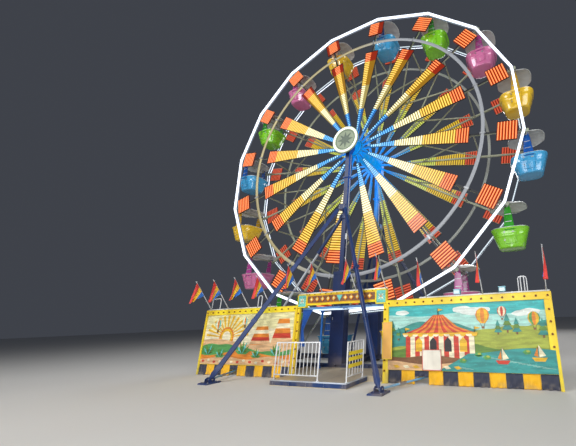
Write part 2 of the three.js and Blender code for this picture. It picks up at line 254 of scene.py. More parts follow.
def lampLine(name, strength, pitch, colour=None):
    # lamps in a row: each bead is brightest in its middle
    coat = Coat(name, (0.05, 0.05, 0.05), 0.3)
    light = colour or coat.carried("paint", "Color")
    bead = 1 - abs((coat.carried("along", "Fac") * (1 / pitch)) % 1.0 - 0.5) * 2.0
    coat.glow(coat.mix(bead, coat.dim(light, 0.7), coat.dim(light, 1.15)), strength)
    coat.set({"Base Color": coat.dim(light, 0.3)})
    return coat


def bareMetal(name, colour, roughness):
    # zinc with a faint spangle and duller patches
    coat = Coat(name, colour, roughness, 1.0)
    spangle = coat.cells(26.0)
    dull = coat.noise(5.0, 6.0)
    paint = coat.mix(dull, shade(colour, 0.7), shade(colour, 1.15))
    coat.set({"Base Color": paint, "Roughness": roughness + spangle * 0.2 + dull * 0.15})
    coat.bump(dull, 0.0005)
    return coat


def chequerPlate(name, colour):
    # rolled plate: short bars that lie crosswise by turns
    perMetre = 22.0
    coat = Coat(name, colour, 0.4, 0.35)
    across, deep = (abs((coat.axis(letter) * perMetre) % 1.0 - 0.5) for letter in "XY")
    bars = coat.rise(across + deep * 0.35, 0.22, 0.12)
    worn = coat.noise(1.6, 6.0)
    tread = coat.mix(bars * coat.rise(worn, 0.4, 0.6), shade(colour, 0.8), shade(colour, 1.2))
    coat.set({"Base Color": coat.mix(coat.rise(worn, 0.55, 0.75) * 0.5, tread, wornBrown)})
    coat.bump(bars, 0.0025)
    return coat


def weave(name, sheen):
    # coated cloth: fine crossed threads, faded in patches and dusty along the ground
    perMetre = 260.0
    coat = Coat(name, (0.5, 0.5, 0.5), 0.5, 0.0, **{"Sheen Weight": sheen, "Sheen Roughness": 0.5})
    colour = coat.carried("paint", "Color")
    threads = (coat.axis("X") * perMetre) % 1.0 + (coat.axis("Z") * perMetre) % 1.0
    fade = coat.noise(2.6, 5.0)
    faded = coat.mix(fade, coat.dim(colour, 0.72), coat.dim(colour, 1.2))
    dust = coat.rise(coat.axis("Z"), 0.22, 0.0) * coat.rise(coat.noise(7.0, 6.0), 0.4, 0.7)
    coat.set({"Base Color": coat.mix(dust * 0.5, faded, dustBrown), "Roughness": 0.42 + fade * 0.25})
    coat.bump(threads * 0.5 + coat.noise(30.0, 3.0), 0.0012)
    return coat


def boardPaint(name):
    # brush-painted board: strokes run along it, and a second tone is let into the first
    gloss = 0.4
    coat = Coat(name, (0.6, 0.5, 0.3), gloss)
    colour = coat.carried("paint", "Color")
    strokes = coat.noise(5.0, 6.0, (0.45, 1, 3.0))
    dabs = coat.noise(17.0, 3.0, (0.8, 1, 1.6))
    tone = coat.mix(coat.rise(strokes, 0.36, 0.66), coat.dim(colour, 0.68), colour)
    tone = coat.mix(coat.rise(dabs, 0.58, 0.70) * 0.4, tone, coat.dim(colour, 1.4))
    coat.set({"Base Color": tone, "Roughness": gloss - 0.04 + strokes * 0.25})
    coat.bump(strokes * 0.7 + dabs * 0.3, 0.0012)
    return coat


def relit(coat, light, strength):
    # a finish that shows the coloured light of the lamps beside it
    cloud = coat.noise(2.5, 3.0)
    coat.glow(coat.mix(cloud, shade(light, 0.7), light), strength)
    return coat


coats = {
    "navy": enamel("navy_enamel", (0.008, 0.035, 0.13), streaks=0.1),
    "legBlue": enamel("leg_blue_enamel", (0.007, 0.034, 0.15), streaks=0.1),
    "brightBlue": enamel("bright_blue_enamel", (0.005, 0.19, 0.70), 0.3, streaks=0.1),
    "hubBlue": relit(enamel("hub_blue_enamel", (0.005, 0.24, 0.68), 0.3, 0.1), (0.0, 0.31, 0.74), 0.6),
    "paleBlue": enamel("pale_blue_enamel", (0.16, 0.40, 0.62)),
    "sage": enamel("sage_enamel", (0.34, 0.37, 0.27), 0.38),
    "white": enamel("white_enamel", (0.74, 0.76, 0.78), 0.3),
    "yellow": enamel("yellow_enamel", (1.0, 0.70, 0.03), 0.32, streaks=0.12),
    "cream": enamel("cream_enamel", (0.80, 0.72, 0.46)),
    # painted shade: the trays are black to stand for the dark between the lit rows
    "tray": enamel("tray_black_painted_shade_enamel", (0.012, 0.013, 0.016), 0.5),
    "galvanised": bareMetal("galvanised_steel", (0.56, 0.58, 0.60), 0.38),
    "bolt": bareMetal("zinc_bolts", (0.42, 0.42, 0.44), 0.3),
    "deck": chequerPlate("deck_plate", (0.74, 0.63, 0.45)),
    "lampRow": lampLine("lamp_rows", 1.25, 0.05),
    "whiteLine": lampLine("white_lamp_line", 2.2, 0.09, (0.80, 0.87, 1.0)),
    "paleLine": lampLine("pale_lamp_line", 1.05, 0.09, (0.72, 0.84, 0.90)),
    "discLine": lampLine("disc_lamp_line", 1.15, 0.12, (0.93, 1.0, 0.80)),
}
print("finishes made")


# Points and faces gathered for one piece
class Form:
    def __init__(self):
        self.points = []
        self.faces = []
        self.tints = []
        self.paints = []
        self.along = []

    def turned(self, at):
        made = Form()
        made.points = [at @ p for p in self.points]
        made.faces, made.tints, made.paints, made.along = self.faces, self.tints, self.paints, self.along
        return made

    def put(self, points, faces, tint=0, at=None, along=None, paint=None):
        start = len(self.points)
        self.points += [at @ Vector(p) for p in points] if at else [Vector(p) for p in points]
        self.faces += [[start + i for i in face] for face in faces]
        self.tints += [tint] * len(faces)
        self.paints += [paint] * len(faces)
        self.along += along or [0.0] * len(points)

    def loft(self, rings, tint=0, at=None, loop=False, along=None, paint=None):
        count = len(rings[0])
        spans = len(rings) if loop else len(rings) - 1
        faces = []
        for a in range(spans):
            b = (a + 1) % len(rings)
            for i in range(count):
                j = (i + 1) % count
                faces.append([a * count + i, a * count + j, b * count + j, b * count + i])
        if not loop:
            last = (len(rings) - 1) * count
            faces += [list(range(count))[::-1], list(range(last, last + count))]
        marks = [value for value in along for _ in range(count)] if along else None
        self.put([p for ring in rings for p in ring], faces, tint, at, marks, paint)

    def box(self, x, y, z, tint=0, at=None, paint=None):
        # x, y and z each hold a low and a high value
        corners = ((x[0], y[0]), (x[1], y[0]), (x[1], y[1]), (x[0], y[1]))
        self.loft([[(*corner, level) for corner in corners] for level in z], tint, at, paint=paint)

    def path(self, points, section, tint, at=None, loop=False, roof=None):
        # the section's x runs sideways and its y towards roof
        points = [Vector(p) for p in points]
        roof = Vector(roof) if roof else None
        rings = []
        length = [0.0]
        for i, point in enumerate(points):
            before = points[i - 1] if i or loop else point
            after = points[(i + 1) % len(points)] if i < len(points) - 1 or loop else point
            ahead = (after - before).normalized()
            crown = roof or (Vector((0, 1, 0)) if abs(ahead.z) > 0.9 else up)
            side = ahead.cross(crown).normalized()
            crown = side.cross(ahead)
            rings.append([point + side * u + crown * v for u, v in section])
            if i:
                length.append(length[-1] + (point - points[i - 1]).length)
        self.loft(rings, tint, at, loop, length)

    def tube(self, points, radius, sides, tint=0, at=None, loop=False):
        self.path(points, circle(radius, sides), tint, at, loop)

    def lathe(self, profile, sides, tint, at=None, loop=False):
        # profile holds (radius, height) pairs, turned about local Z
        rings = [[(r * c, r * s, z) for c, s in circle(1.0, sides)] for r, z in profile]
        self.loft(rings, tint, at, loop)

    def plate(self, outline, low, high, tint=0, paint=None):
        # an outline in XZ, from y low to y high
        self.loft([[(x, y, z) for x, z in outline] for y in (low, high)], tint, paint=paint)

    def bolts(self, xs, ys, zs, out, size, tint):
        # a hexagon head on a washer at each of these places, facing out
        for place in product(xs, ys, zs):
            self.bolt(place, out, size, tint)

    def bolt(self, place, out, size, tint):
        turned = Vector(out).to_track_quat("Z", "Y").to_matrix().to_4x4()
        at = Matrix.Translation(place) @ turned
        self.lathe([(size * 1.25, 0), (size * 1.25, size * 0.18)], 12, tint, at)
        self.lathe([(size, size * 0.18), (size, size * 0.75), (size * 0.8, size * 0.85)], 6, tint, at)


def circle(radius, sides, turn=0.5):
    angles = [2 * math.pi * (i + turn) / sides for i in range(sides)]
    return [(radius * math.cos(a), radius * math.sin(a)) for a in angles]


def oval(across, deep, sides):
    return [(u * across, v * deep) for u, v in circle(1.0, sides)]


def square(half, deep=None):
    deep = deep or half
    return [(-half, -deep), (half, -deep), (half, deep), (-half, deep)]


def about(middle, reach):
    return middle - reach, middle + reach


def between(sign, low, high, middle=0):
    ends = (middle + sign * low, middle + sign * high)
    return min(ends), max(ends)


def polar(radius, angle, y=0.0):
    a = math.radians(angle)
    return Vector((radius * math.cos(a), y, wheel["hub"] + radius * math.sin(a)))


def roundAxle(radius, y, count):
    # evenly spaced places on a circle round the axle
    return [polar(radius, 360 * k / count, y) for k in range(count)]


def spokeFrame(i):
    # local +X runs out along spoke i, local Y along the axle
    return Matrix.Translation(axle) @ Matrix.Rotation(-math.radians(wheel["phase"] + i * step), 4, "Y")


def lyingAlongY(place, facing):
    # local Z points along -Y or +Y
    return Matrix.Translation(place) @ Matrix.Rotation(math.radians(-90 * facing), 4, "X")


def meshOf(name, form, finishes, smooth=32):
    mesh = bpy.data.meshes.new(name)
    mesh.from_pydata([tuple(p) for p in form.points], [], form.faces)
    mesh.polygons.foreach_set("material_index", form.tints)
    for finish in finishes:
        mesh.materials.append(coats[finish].material)
    net = bmesh.new()
    net.from_mesh(mesh)
    bmesh.ops.recalc_face_normals(net, faces=net.faces)
    net.to_mesh(mesh)
    net.free()
    if any(form.along):
        mesh.attributes.new("along", "FLOAT", "POINT").data.foreach_set("value", form.along)
    if any(form.paints):
        flat = []
        for face in mesh.polygons:
            flat += (*(form.paints[face.index] or (1, 1, 1)), 1) * face.loop_total
        mesh.attributes.new("paint", "FLOAT_COLOR", "CORNER").data.foreach_set("color", flat)
    mesh.shade_smooth()
    mesh.set_sharp_from_angle(angle=math.radians(smooth))
    return mesh


def piece(name, mesh, body, replaced=(), bevel=0.0, place=None):
    made = bpy.data.objects.new(name, mesh)
    bpy.context.collection.objects.link(made)
    if place:
        made.location = place
        bpy.context.view_layer.update()
    if bevel:
        edge = made.modifiers.new("bevel", "BEVEL")
        edge.width = bevel
        edge.segments = 2
        edge.limit_method = "ANGLE"
    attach(made, body)
    if replaced:
        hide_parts(*replaced)
    return made


def onWheel(name, form, finishes, replaced=(), smooth=32):
    return piece(name, meshOf(name, form, finishes, smooth), "wheel", replaced)


def onBase(name, form, finishes, replaced=(), smooth=32, bevel=0.0):
    return piece(name, meshOf(name, form, finishes, smooth), "base", replaced, bevel)


def dress(finish, *nodes):
    for name in nodes:
        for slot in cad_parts[name].material_slots:
            slot.material = coats[finish].material


# Floor and lights
studio = {
    "reach": 120,
    "floor": (0.66, 0.65, 0.62),
    "sky": (0.05, 0.055, 0.068, 1),
    "aim": (0, 0, 5),
    "lamps": [
        ("key", (-7, -18, 15), 9, 2600),
        ("fill", (16, -13, 9), 9, 1500),
        ("back", (4, 17, 15), 9, 1500),
        ("low", (3, -17, 3.5), 7, 900),
    ],
}


def makeStudio():
    floor = bpy.data.meshes.new("studio_floor")
    corners = [(x, y, 0) for x, y in square(studio["reach"])]
    floor.from_pydata(corners, [], [(0, 1, 2, 3)])
    floor.materials.append(Coat("studio_floor", studio["floor"], 0.9).material)
    ground = bpy.data.objects.new("studio_floor", floor)
    bpy.context.collection.objects.link(ground)
    world = bpy.data.worlds.new("studio")
    world.use_nodes = True
    world.node_tree.nodes["Background"].inputs[0].default_value = studio["sky"]
    bpy.context.scene.world = world
    for name, place, size, power in studio["lamps"]:
        data = bpy.data.lights.new(name, "AREA")
        data.size = size
        data.energy = power
        lamp = bpy.data.objects.new(name, data)
        lamp.location = place
        lamp.rotation_mode = "QUATERNION"
        lamp.rotation_quaternion = (Vector(studio["aim"]) - Vector(place)).to_track_quat("-Z", "Y")
        bpy.context.collection.objects.link(lamp)
    bpy.context.scene.view_settings.view_transform = "Standard"


makeStudio()
print("studio ready")


# Spoke frames: trays with rows of lamps; on some spokes only part of each row is lit
rows = {
    "from": 0.86, "pitch": 0.101, "count": 41, "width": 0.056, "height": 0.02, "bed": 0.004,
    "trayFrom": 0.8, "trayTo": 4.96, "narrow": 0.11, "wide": 0.66, "margin": 0.016,
    "panelFrom": 5.985, "panelCount": 7, "panelWide": 0.74, "panel": (5.95, 6.62), "bar": 0.038, "lip": 0.012,
    "boltsAt": (0.47, 0.56, 6.70, 6.78), "shoe": (0.43, 0.64), "shoeHalf": 0.06,
}
# out to each radius: the outer rows, their crest, the inner rows, and the light on the tray
zones = (
    (1.3, (0.22, 0.66, 1.0), (0.48, 0.80, 1.0), (0.03, 0.35, 0.8), (0.0, 0.12, 0.40)),
    (1.9, (0.04, 0.40, 0.88), (0.22, 0.58, 0.95), (0.05, 0.35, 0.66), (0.0, 0.10, 0.36)),
    (3.15, (1.0, 0.93, 0.56), (1.0, 0.95, 0.62), (0.50, 0.60, 0.08), (0.34, 0.27, 0.08)),
    (4.42, (0.90, 0.55, 0.05), (0.97, 0.66, 0.17), (0.60, 0.42, 0.03), (0.29, 0.14, 0.004)),
    (9.0, (0.95, 0.17, 0.022), (0.98, 0.36, 0.15), (0.50, 0.075, 0.035), (0.26, 0.016, 0.002)),
)
# how much of a row is lit, and towards which side
litRows = {1: (0.57, 1), 2: (0.56, 1), 3: (0.46, 1), 4: (0.44, 0), 5: (0.66, 0)}
fullyLit = (1, 0)


def lampRow(form, radius, side, face, ends, colour, crestColour):
    # one row across the tray at this radius: a low body and a crest, paler on the outer rows
    half, rise = rows["width"] / 2, rows["height"] * side
    body = [(-half, 0), (-half * 0.7, rise * 0.75), (half * 0.7, rise * 0.75), (half, 0)]
    crest = [(-half * 0.42, rise * 0.75), (0, rise), (half * 0.42, rise * 0.75)]
    for profile, paint in ((body, colour), (crest, crestColour)):
        rings = [[(radius + u, face + v, z) for u, v in profile] for z in ends]
        form.loft(rings, along=list(ends), paint=paint)


def rowBed(form, radius, side, face, ends, colour):
    # the strip of tray that a row stands on, tinted by its light
    deep = sorted((face, face + side * rows["bed"]))
    form.box(about(radius, rows["pitch"] / 2), deep, ends, paint=colour)


def crossRows(form, radius, half, lit, lean):
    # rows on both faces of both trays; on the inner faces the spoke's bar parts them
    outer, crest, inner, bed = next(zone[1:] for zone in zones if radius < zone[0])
    ends = about(lean * half * (1 - lit), half * lit)
    for plane in (-1, 1):
        rowBed(form, radius, plane, plane * (wheel["tray"] - 0.0005), (-half, half), bed)
        lampRow(form, radius, plane, plane * wheel["tray"], ends, outer, crest)
        for hand in (-1, 1):
            if half > rows["bar"] + 0.02:
                face, side = plane * (wheel["face"] - 0.001), between(hand, rows["bar"], half)
                rowBed(form, radius, -plane, face, side, shade(bed, 0.6))
                lampRow(form, radius, -plane, face, side, inner, inner)


def spokeLights(lit, lean):
    form = Form()
    for k in range(rows["count"]):
        radius = rows["from"] + k * rows["pitch"]
        share = (radius - rows["trayFrom"]) / (rows["trayTo"] - rows["trayFrom"])
        half = (rows["narrow"] + (rows["wide"] - rows["narrow"]) * share) / 2 - rows["margin"]
        crossRows(form, radius, half, lit, lean)
    panelLit = 1 if lit > 0.5 else lit + 0.2
    for k in range(rows["panelCount"]):
        half = rows["panelWide"] / 2 - rows["margin"]
        crossRows(form, rows["panelFrom"] + k * rows["pitch"], half, panelLit, lean)
    return form


def makeSpokeLights():
    forms = {lit: spokeLights(*lit) for lit in {fullyLit, *litRows.values()}}
    for i in everyone:
        form = forms[litRows.get(i, fullyLit)].turned(spokeFrame(i))
        onWheel(f"spoke_lamps_{i + 1:02d}", form, ["lampRow"], smooth=50)


def makeSpokeTrim():
    # lips along the trays, foot plates and bolts
    lip = rows["lip"]
    wide, panel = rows["wide"] / 2, rows["panelWide"] / 2
    near, far = rows["panel"]
    for i in everyone:
        form = Form()
        at = spokeFrame(i)
        for plane in (-1, 1):
            # lips and end bars take the trays' black, painted shade between the lit rows
            y = plane * (wheel["tray"] + 0.008)
            for hand in (-1, 1):
                start = (rows["trayFrom"], y, hand * rows["narrow"] / 2)
                end = (rows["trayTo"], y, hand * wide)
                form.path([start, end], square(lip / 2, lip), 0, at, roof=(0, 1, 0))
                form.box((near, far), about(y, lip), about(hand * panel, lip / 2), 0, at)
            for radius, half in ((rows["trayTo"], wide), (near, panel), (far, panel)):
                form.box(about(radius, lip / 2), about(y, lip), (-half, half), 0, at)
            for radius in rows["boltsAt"]:
                form.bolt(at @ Vector((radius, plane * wheel["face"], 0)), (0, plane, 0), 0.017, 1)
            form.box(rows["shoe"], between(plane, 0.716, 0.7195), about(0, rows["shoeHalf"]), 2, at)
        onWheel(f"spoke_trim_{i + 1:02d}", form, ["tray", "bolt", "sage"])


def coatSpokeFrames():
    # one finish for the spoke frames: blue by the hub, sage beyond it, black on the trays as painted shade
    # for the dark between the lit rows, and a painted blue glow near the hub
    coat = coats["sage"]
    coat.overlay(coat.rise(coat.outward(), 1.5, 0.8), (0.01, 0.20, 0.62))
    depth = abs(coat.axis("Y"))
    # the tray faces get the painted-shade black
    tray = (depth > wheel["face"] - 0.0006) * (depth < wheel["tray"] + 0.01)
    coat.overlay(tray, coats["tray"].colour)
    # painted light: a blue glow on the frames near the hub, as if lit by the hub lamps
    near = coat.rise(coat.outward(), 2.3, 0.6)
    coat.glow(coat.mix(near, (0.0, 0.0, 0.0), (0.0, 0.16, 0.50)), 1.0)
    dress("sage", *[f"spoke_frame_{i + 1:02d}" for i in everyone])


makeSpokeLights()
makeSpokeTrim()
coatSpokeFrames()
print("spoke frames dressed")


# Rims and inner rings
rims = {
    "plane": 0.778, "back": 0.722, "clip": 0.008, "clipAt": (0.08, 0.3, 0.5, 0.7, 0.92), "cuts": 12,
    "front": 0.046, "rear": 0.030, "thin": 0.020,
}
ring = {
    "radius": 5.446, "plane": 0.812, "deep": 0.030, "clamp": 0.03, "cuts": 96, "front": 0.068, "rear": 0.058,
}


def makeRimLamps(name, plane):
    # a lamp line round the outer face; the rear rim has a thin one on its inner side too
    form = Form()
    lamp, cuts = rims[name], rims["cuts"]
    y = plane * (rims["plane"] + lamp * 0.8)
    inner = plane * (rims["back"] - rims["thin"] * 0.7)
    points = []
    for i in everyone:
        start, end = (polar(wheel["rim"], wheel["phase"] + (i + k) * step) for k in (0, 1))
        side = [start.lerp(end, j / cuts) for j in range(cuts)]
        points += [p + Vector((0, y, 0)) for p in side]
        if name == "rear":
            short = [start.lerp(end, 0.03 + 0.94 * j / cuts) + Vector((0, inner, 0)) for j in range(cuts + 1)]
            form.path(short, circle(rims["thin"], 8), 2, roof=(0, 1, 0))
        turned = -math.radians(wheel["phase"] + (i + 0.5) * step)
        for share in rims["clipAt"]:
            at = Matrix.Translation(start.lerp(end, share)) @ Matrix.Rotation(turned, 4, "Y")
            lip = lamp + 0.004
            form.box((-lip, lip), sorted((plane * rims["plane"], y)), about(0, rims["clip"]), 1, at)
    form.path(points, circle(lamp, 10), 0, None, True, roof=(0, 1, 0))
    onWheel(f"{name}_rim_lamps", form, ["whiteLine", "galvanised", "paleLine"], smooth=50)


def makeInnerRing(name, plane):
    # a round tube with a clamp at each spoke
    form = Form()
    half, deep, clamp = ring[name], ring["deep"], ring["clamp"]
    start, cuts = wheel["phase"], ring["cuts"]
    points = [polar(ring["radius"], start + 360 * k / cuts, plane * ring["plane"]) for k in range(cuts)]
    form.path(points, oval(half, deep, 14), 0, None, True, roof=(0, 1, 0))
    face = ring["plane"] + deep
    for i in everyone:
        at = spokeFrame(i)
        for side in (-1, 1):
            foot = ring["radius"] + side * (half + 0.016)
            form.box(about(foot, 0.012), between(plane, wheel["face"], face + 0.006), (-clamp, clamp), 1, at)
            form.bolt(at @ Vector((foot, plane * (face + 0.008), 0)), (0, plane, 0), 0.013, 2)
        cap = between(plane, face, face + 0.008)
        form.box(about(ring["radius"], half + 0.028), cap, (-clamp, clamp), 1, at)
    finishes = [f"{name}Ring", "galvanised", "bolt"]
    onWheel(f"{name}_ring_tube", form, finishes, [f"{name}_inner_ring"])


def ringEnamelLampLit(name, warm, cool):
    # painted light: warm lamp light at the upper left and cooler light at the right and below, with a faint
    # painted glow
    coat = enamel(name, warm, 0.38, streaks=0.15)
    side = coat.rise(coat.axis("X") - (coat.axis("Z") - 14.0) * 0.3, -1.0, 2.4)
    coat.overlay(side, cool)
    # painted glow of the lamps' light on the rings
    coat.glow(coat.mix(side, warm, cool), 0.2)
    return coat


coats["frontRing"] = ringEnamelLampLit("front_ring_lamplit_enamel", (0.40, 0.34, 0.17), (0.27, 0.285, 0.31))
coats["rearRing"] = ringEnamelLampLit("rear_ring_lamplit_enamel", (0.26, 0.28, 0.19), (0.24, 0.26, 0.24))
coats["frontRim"] = relit(enamel("front_rim_enamel", (0.20, 0.22, 0.26), 0.3), (0.30, 0.36, 0.50), 0.3)
coats["rearRim"] = relit(enamel("rear_rim_enamel", (0.10, 0.11, 0.15), 0.3), (0.16, 0.19, 0.30), 0.2)
for name, plane in planes:
    makeRimLamps(name, plane)
    makeInnerRing(name, plane)
    dress(f"{name}Rim", f"{name}_rim")
print("rims and rings dressed")


# Hub
hub = {
    "drum": 0.304, "hoops": (-0.45, -0.15, 0.15, 0.45), "flange": 0.3, "face": 0.8, "near": 0.37, "far": 0.39,
}
disc = {
    "radius": 0.595, "front": -1.42, "back": -1.35, "lampIn": 0.068, "hoop": 0.43, "bolts": 0.2, "box": 0.12,
    "points": 8, "tip": 0.36, "notch": 0.15,
}


def makeHubTrim():
    form = Form()
    for plane in (-1, 1):
        face = plane * hub["face"]
        for i in everyone:
            for turn, radius in ((0, hub["far"]), (0.5, hub["near"])):
                form.bolt(polar(radius, wheel["phase"] + (i + turn) * step, face), (0, plane, 0), 0.019, 1)
        form.tube(roundAxle(hub["flange"], face + plane * 0.014, 48), 0.018, 8, 0, None, True)
        at = lyingAlongY((0, face, wheel["hub"]), plane)
        form.lathe([(0.2, 0), (0.2, 0.03), (0.16, 0.05), (0.16, 0.12), (0.118, 0.12), (0.118, 0)], 40, 0, at)
        for k in range(8):
            form.bolt(polar(0.18, 45 * k + 20, face + plane * 0.03), (0, plane, 0), 0.014, 1)
    for y in hub["hoops"]:
        form.path(roundAxle(hub["drum"], y, 64), square(0.02), 0, None, True, roof=(0, 1, 0))
    onWheel("hub_trim", form, ["hubBlue", "bolt"])


def makeHubLight():
    # a round face with a lit ring and a plain raised star in its middle
    form = Form()
    radius, face = disc["radius"], disc["front"]
    depth = disc["back"] - face
    pan = [(0.1, 0), (radius - 0.02, 0), (radius, 0.015), (radius, depth), (radius - 0.016, depth + 0.004)]
    pan += [(radius - 0.02, depth - 0.01), (0.03, depth - 0.014)]
    form.lathe(pan, 72, 0, lyingAlongY((0, disc["back"], wheel["hub"]), -1))
    lamp = roundAxle(radius - disc["lampIn"], face - 0.002, 72)
    form.path(lamp, oval(0.05, 0.022, 10), 1, None, True, roof=(0, 1, 0))
    outline = []
    for k in range(disc["points"] * 2):
        spot = polar(disc["notch"] if k % 2 else disc["tip"], 90 + 180 * k / disc["points"])
        outline.append((spot.x, spot.z))
    form.plate(outline, face + 0.0145, face + 0.002, 2)
    form.tube(roundAxle(disc["hoop"], face + 0.012, 60), 0.012, 8, 2, None, True)
    half = disc["box"]
    form.box((-half, half), (-1.351, -1.3003), about(wheel["hub"], half), 3)
    for spot in roundAxle(disc["bolts"], face + 0.014, 12):
        form.bolt(spot, (0, -1, 0), 0.011, 4)
    finishes = ["discFace", "discLine", "discStar", "brightBlue", "bolt"]
    onBase("hub_light_dressed", form, finishes, ["hub_light"])


coats["discFace"] = enamel("disc_sage_enamel", (0.27, 0.33, 0.22), 0.4)
coats["discStar"] = enamel("disc_star_enamel", (0.10, 0.14, 0.10), 0.4)
makeHubTrim()
makeHubLight()
dress("hubBlue", "hub")
print("hub dressed")


# Tubs
tub = {
    "halfX": 0.62, "halfY": 0.51, "top": -0.74, "bottom": -1.40, "taper": 0.68, "power": 3.4, "flutes": 12,
    "sides": 48, "bench": -1.02, "benchHalf": 0.27, "table": 0.17, "tableAt": -0.82,
    "hangerAt": 0.4905, "hangerHalf": 0.008,
}
dome = {"x": 0.645, "y": 0.535, "eave": 0.05, "power": 2.6, "sides": 64, "lobe": 0.02, "ribs": 8}
paints = [
    ("yellow", (0.78, 0.50, 0.03), (0.60, 0.36, 0.02)),
    ("pink", (0.58, 0.16, 0.33), (0.36, 0.05, 0.24)),
    ("green", (0.20, 0.56, 0.02), (0.03, 0.28, 0.02)),
    ("blue", (0.06, 0.34, 0.62), (0.01, 0.09, 0.38)),
]
for paintName, light, dark in paints:
    coats[paintName + "Tub"] = fibreglass(paintName + "_tub_gel", light)
    coats[paintName + "Hanger"] = fibreglass(paintName + "_hanger_gel", dark)
coats["roofGel"] = fibreglass("canopy_grey_gel", (0.62, 0.64, 0.62))
coats["seatGel"] = fibreglass("seat_grey_gel", (0.42, 0.42, 0.42))


def squircleReach(a, power):
    # how far a rounded box of half size 1 reaches in the direction a
    return (abs(math.cos(a)) ** power + abs(math.sin(a)) ** power) ** (-1 / power)


def squircle(halfX, halfY, z, flute=0.0):
    # a rounded box outline, with shallow upright flutes if asked
    outline = []
    for k in range(tub["sides"]):
        a = 2 * math.pi * k / tub["sides"]
        reach = squircleReach(a, tub["power"]) * (1 - flute * (0.5 + 0.5 * math.cos(tub["flutes"] * a)))
        outline.append((halfX * reach * math.cos(a), halfY * reach * math.sin(a), z))
    return outline


def grown(z):
    # the tub's size at this height, as a share of its lip
    share = (z - tub["bottom"]) / (tub["top"] - tub["bottom"])
    return tub["taper"] + (1 - tub["taper"]) * share


def doorPlane(z):
    return tub["halfY"] * grown(z)


def wallAt(z):
    # how far out the benches may reach at this height, inside the rounded wall
    return tub["halfX"] * grown(z) * 0.95 - 0.03


def upTub(share):
    # share 0 at the bottom and 1 at the lip
    return tub["bottom"] + share * (tub["top"] - tub["bottom"])


def addBowl(form):
    # each entry holds a share of the height, how far the wall stands in, and the depth of the flutes
    outside = [(0.0, 0.07, 0), (0.012, 0.028, 0), (0.05, 0.006, 0.0), (0.10, 0.0, 0.03), (0.5, 0.0, 0.03)]
    outside += [(0.56, 0.0, 0.0), (0.58, -0.006, 0), (0.66, -0.006, 0), (0.68, 0.0, 0), (0.90, 0.0, 0)]
    outside += [(0.93, -0.012, 0), (0.985, -0.014, 0), (1.0, 0.0, 0)]
    inside = [(0.995, 0.03, 0), (0.96, 0.032, 0), (0.3, 0.032, 0), (0.1, 0.035, 0), (0.065, 0.075, 0)]
    rings = []
    for share, inset, flute in outside + inside:
        size = tub["taper"] + (1 - tub["taper"]) * share
        halfX, halfY = tub["halfX"] * size - inset, tub["halfY"] * size - inset
        rings.append(squircle(halfX, halfY, upTub(share), flute))
    form.loft(rings, 0)


def addBenches(form, floor):
    # moulded benches with a rolled front edge, and a back that leans with the wall
    bench = tub["bench"]
    profile = [(0.262, floor), (0.262, bench - 0.03), (0.275, bench - 0.004), (0.30, bench)]
    profile += [(0.40, bench - 0.015), (wallAt(-1.035) - 0.10, -1.03), (wallAt(-1.0) - 0.06, -1.0)]
    profile += [(wallAt(-0.83) - 0.05, -0.83), (wallAt(-0.81) - 0.03, -0.81)]
    profile += [(wallAt(-0.9), -0.9), (wallAt(floor), floor)]
    for hand in (-1, 1):
        form.plate([(hand * x, z) for x, z in profile], -tub["benchHalf"], tub["benchHalf"], 2)


def addDoors(form):
    # a raised outline with latch and hinges
    door = [(-0.2, -0.80), (0.2, -0.80), (0.17, -1.26), (-0.17, -1.26)]
    for side in (-1, 1):
        lean = Matrix.Translation((0, side * 0.012, 0))
        for (x0, z0), (x1, z1) in zip(door, door[1:] + door[:1]):
            y0, y1 = (doorPlane(z) * side for z in (z0, z1))
            form.tube([(x0, y0, z0), (x1, y1, z1)], 0.007, 8, 0, lean)
        form.box((0.06, 0.14), about(side * doorPlane(-0.9), 0.02), about(-0.9, 0.015), 3)
        for z in (-0.88, -1.14):
            form.box((-0.2, -0.16), about(side * doorPlane(z), 0.014), about(z, 0.03), 3)


def addTable(form, floor):
    # hand ring on a post, with three spokes
    radius, z = tub["table"], tub["tableAt"]
    form.lathe([(0.03, floor), (0.022, floor + 0.03), (0.022, z - 0.02), (0.04, z - 0.01)], 16, 3)
    form.tube([(x, y, z) for x, y in circle(radius, 28)], 0.013, 8, 3, None, True)
    for x, y in circle(radius, 3, 0):
        form.tube([(0, 0, z - 0.012), (x, y, z)], 0.009, 6, 3)


def addHangers(form):
    mid = tub["hangerAt"]
    edge = [(-0.15, -0.84), (-0.16, -0.74), (-0.135, -0.5), (-0.11, -0.2), (-0.075, -0.02), (-0.062, 0.052)]
    outline = edge + [(-x, z) for x, z in reversed(edge)]
    for side in (-1, 1):
        y0, y1 = about(side * mid, tub["hangerHalf"])
        form.plate(outline, y0, y1, 1)
        for hand in (-1, 1):
            # folded edges
            form.tube([(hand * (abs(x) - 0.008), side * mid, z) for x, z in edge], 0.014, 8, 1)
        for z in (-0.55, -0.3):
            form.box((-0.1, 0.1), (y0 - 0.006, y1 + 0.006), about(z, 0.012), 3)
        at = lyingAlongY((0, side * (mid - 0.03), 0), side)
        form.lathe([(0.056, 0), (0.056, 0.07), (0.05, 0.076), (0.026, 0.076), (0.026, 0)], 28, 3, at, True)
        for x, z in circle(0.042, 4):
            form.bolt((x, side * (mid + 0.046), z), (0, side, 0), 0.007, 4)
        form.bolts((-0.1, 0, 0.1), (side * (mid + 0.008),), (-0.79,), (0, side, 0), 0.013, 4)


def tubForm():
    form = Form()
    floor = upTub(0.066)
    addBowl(form)
    addBenches(form, floor)
    addDoors(form)
    lip = squircle(tub["halfX"] - 0.012, tub["halfY"] - 0.012, tub["top"] + 0.006)
    form.tube(lip, 0.016, 8, 3, None, True)
    addTable(form, floor)
    addHangers(form)
    return form


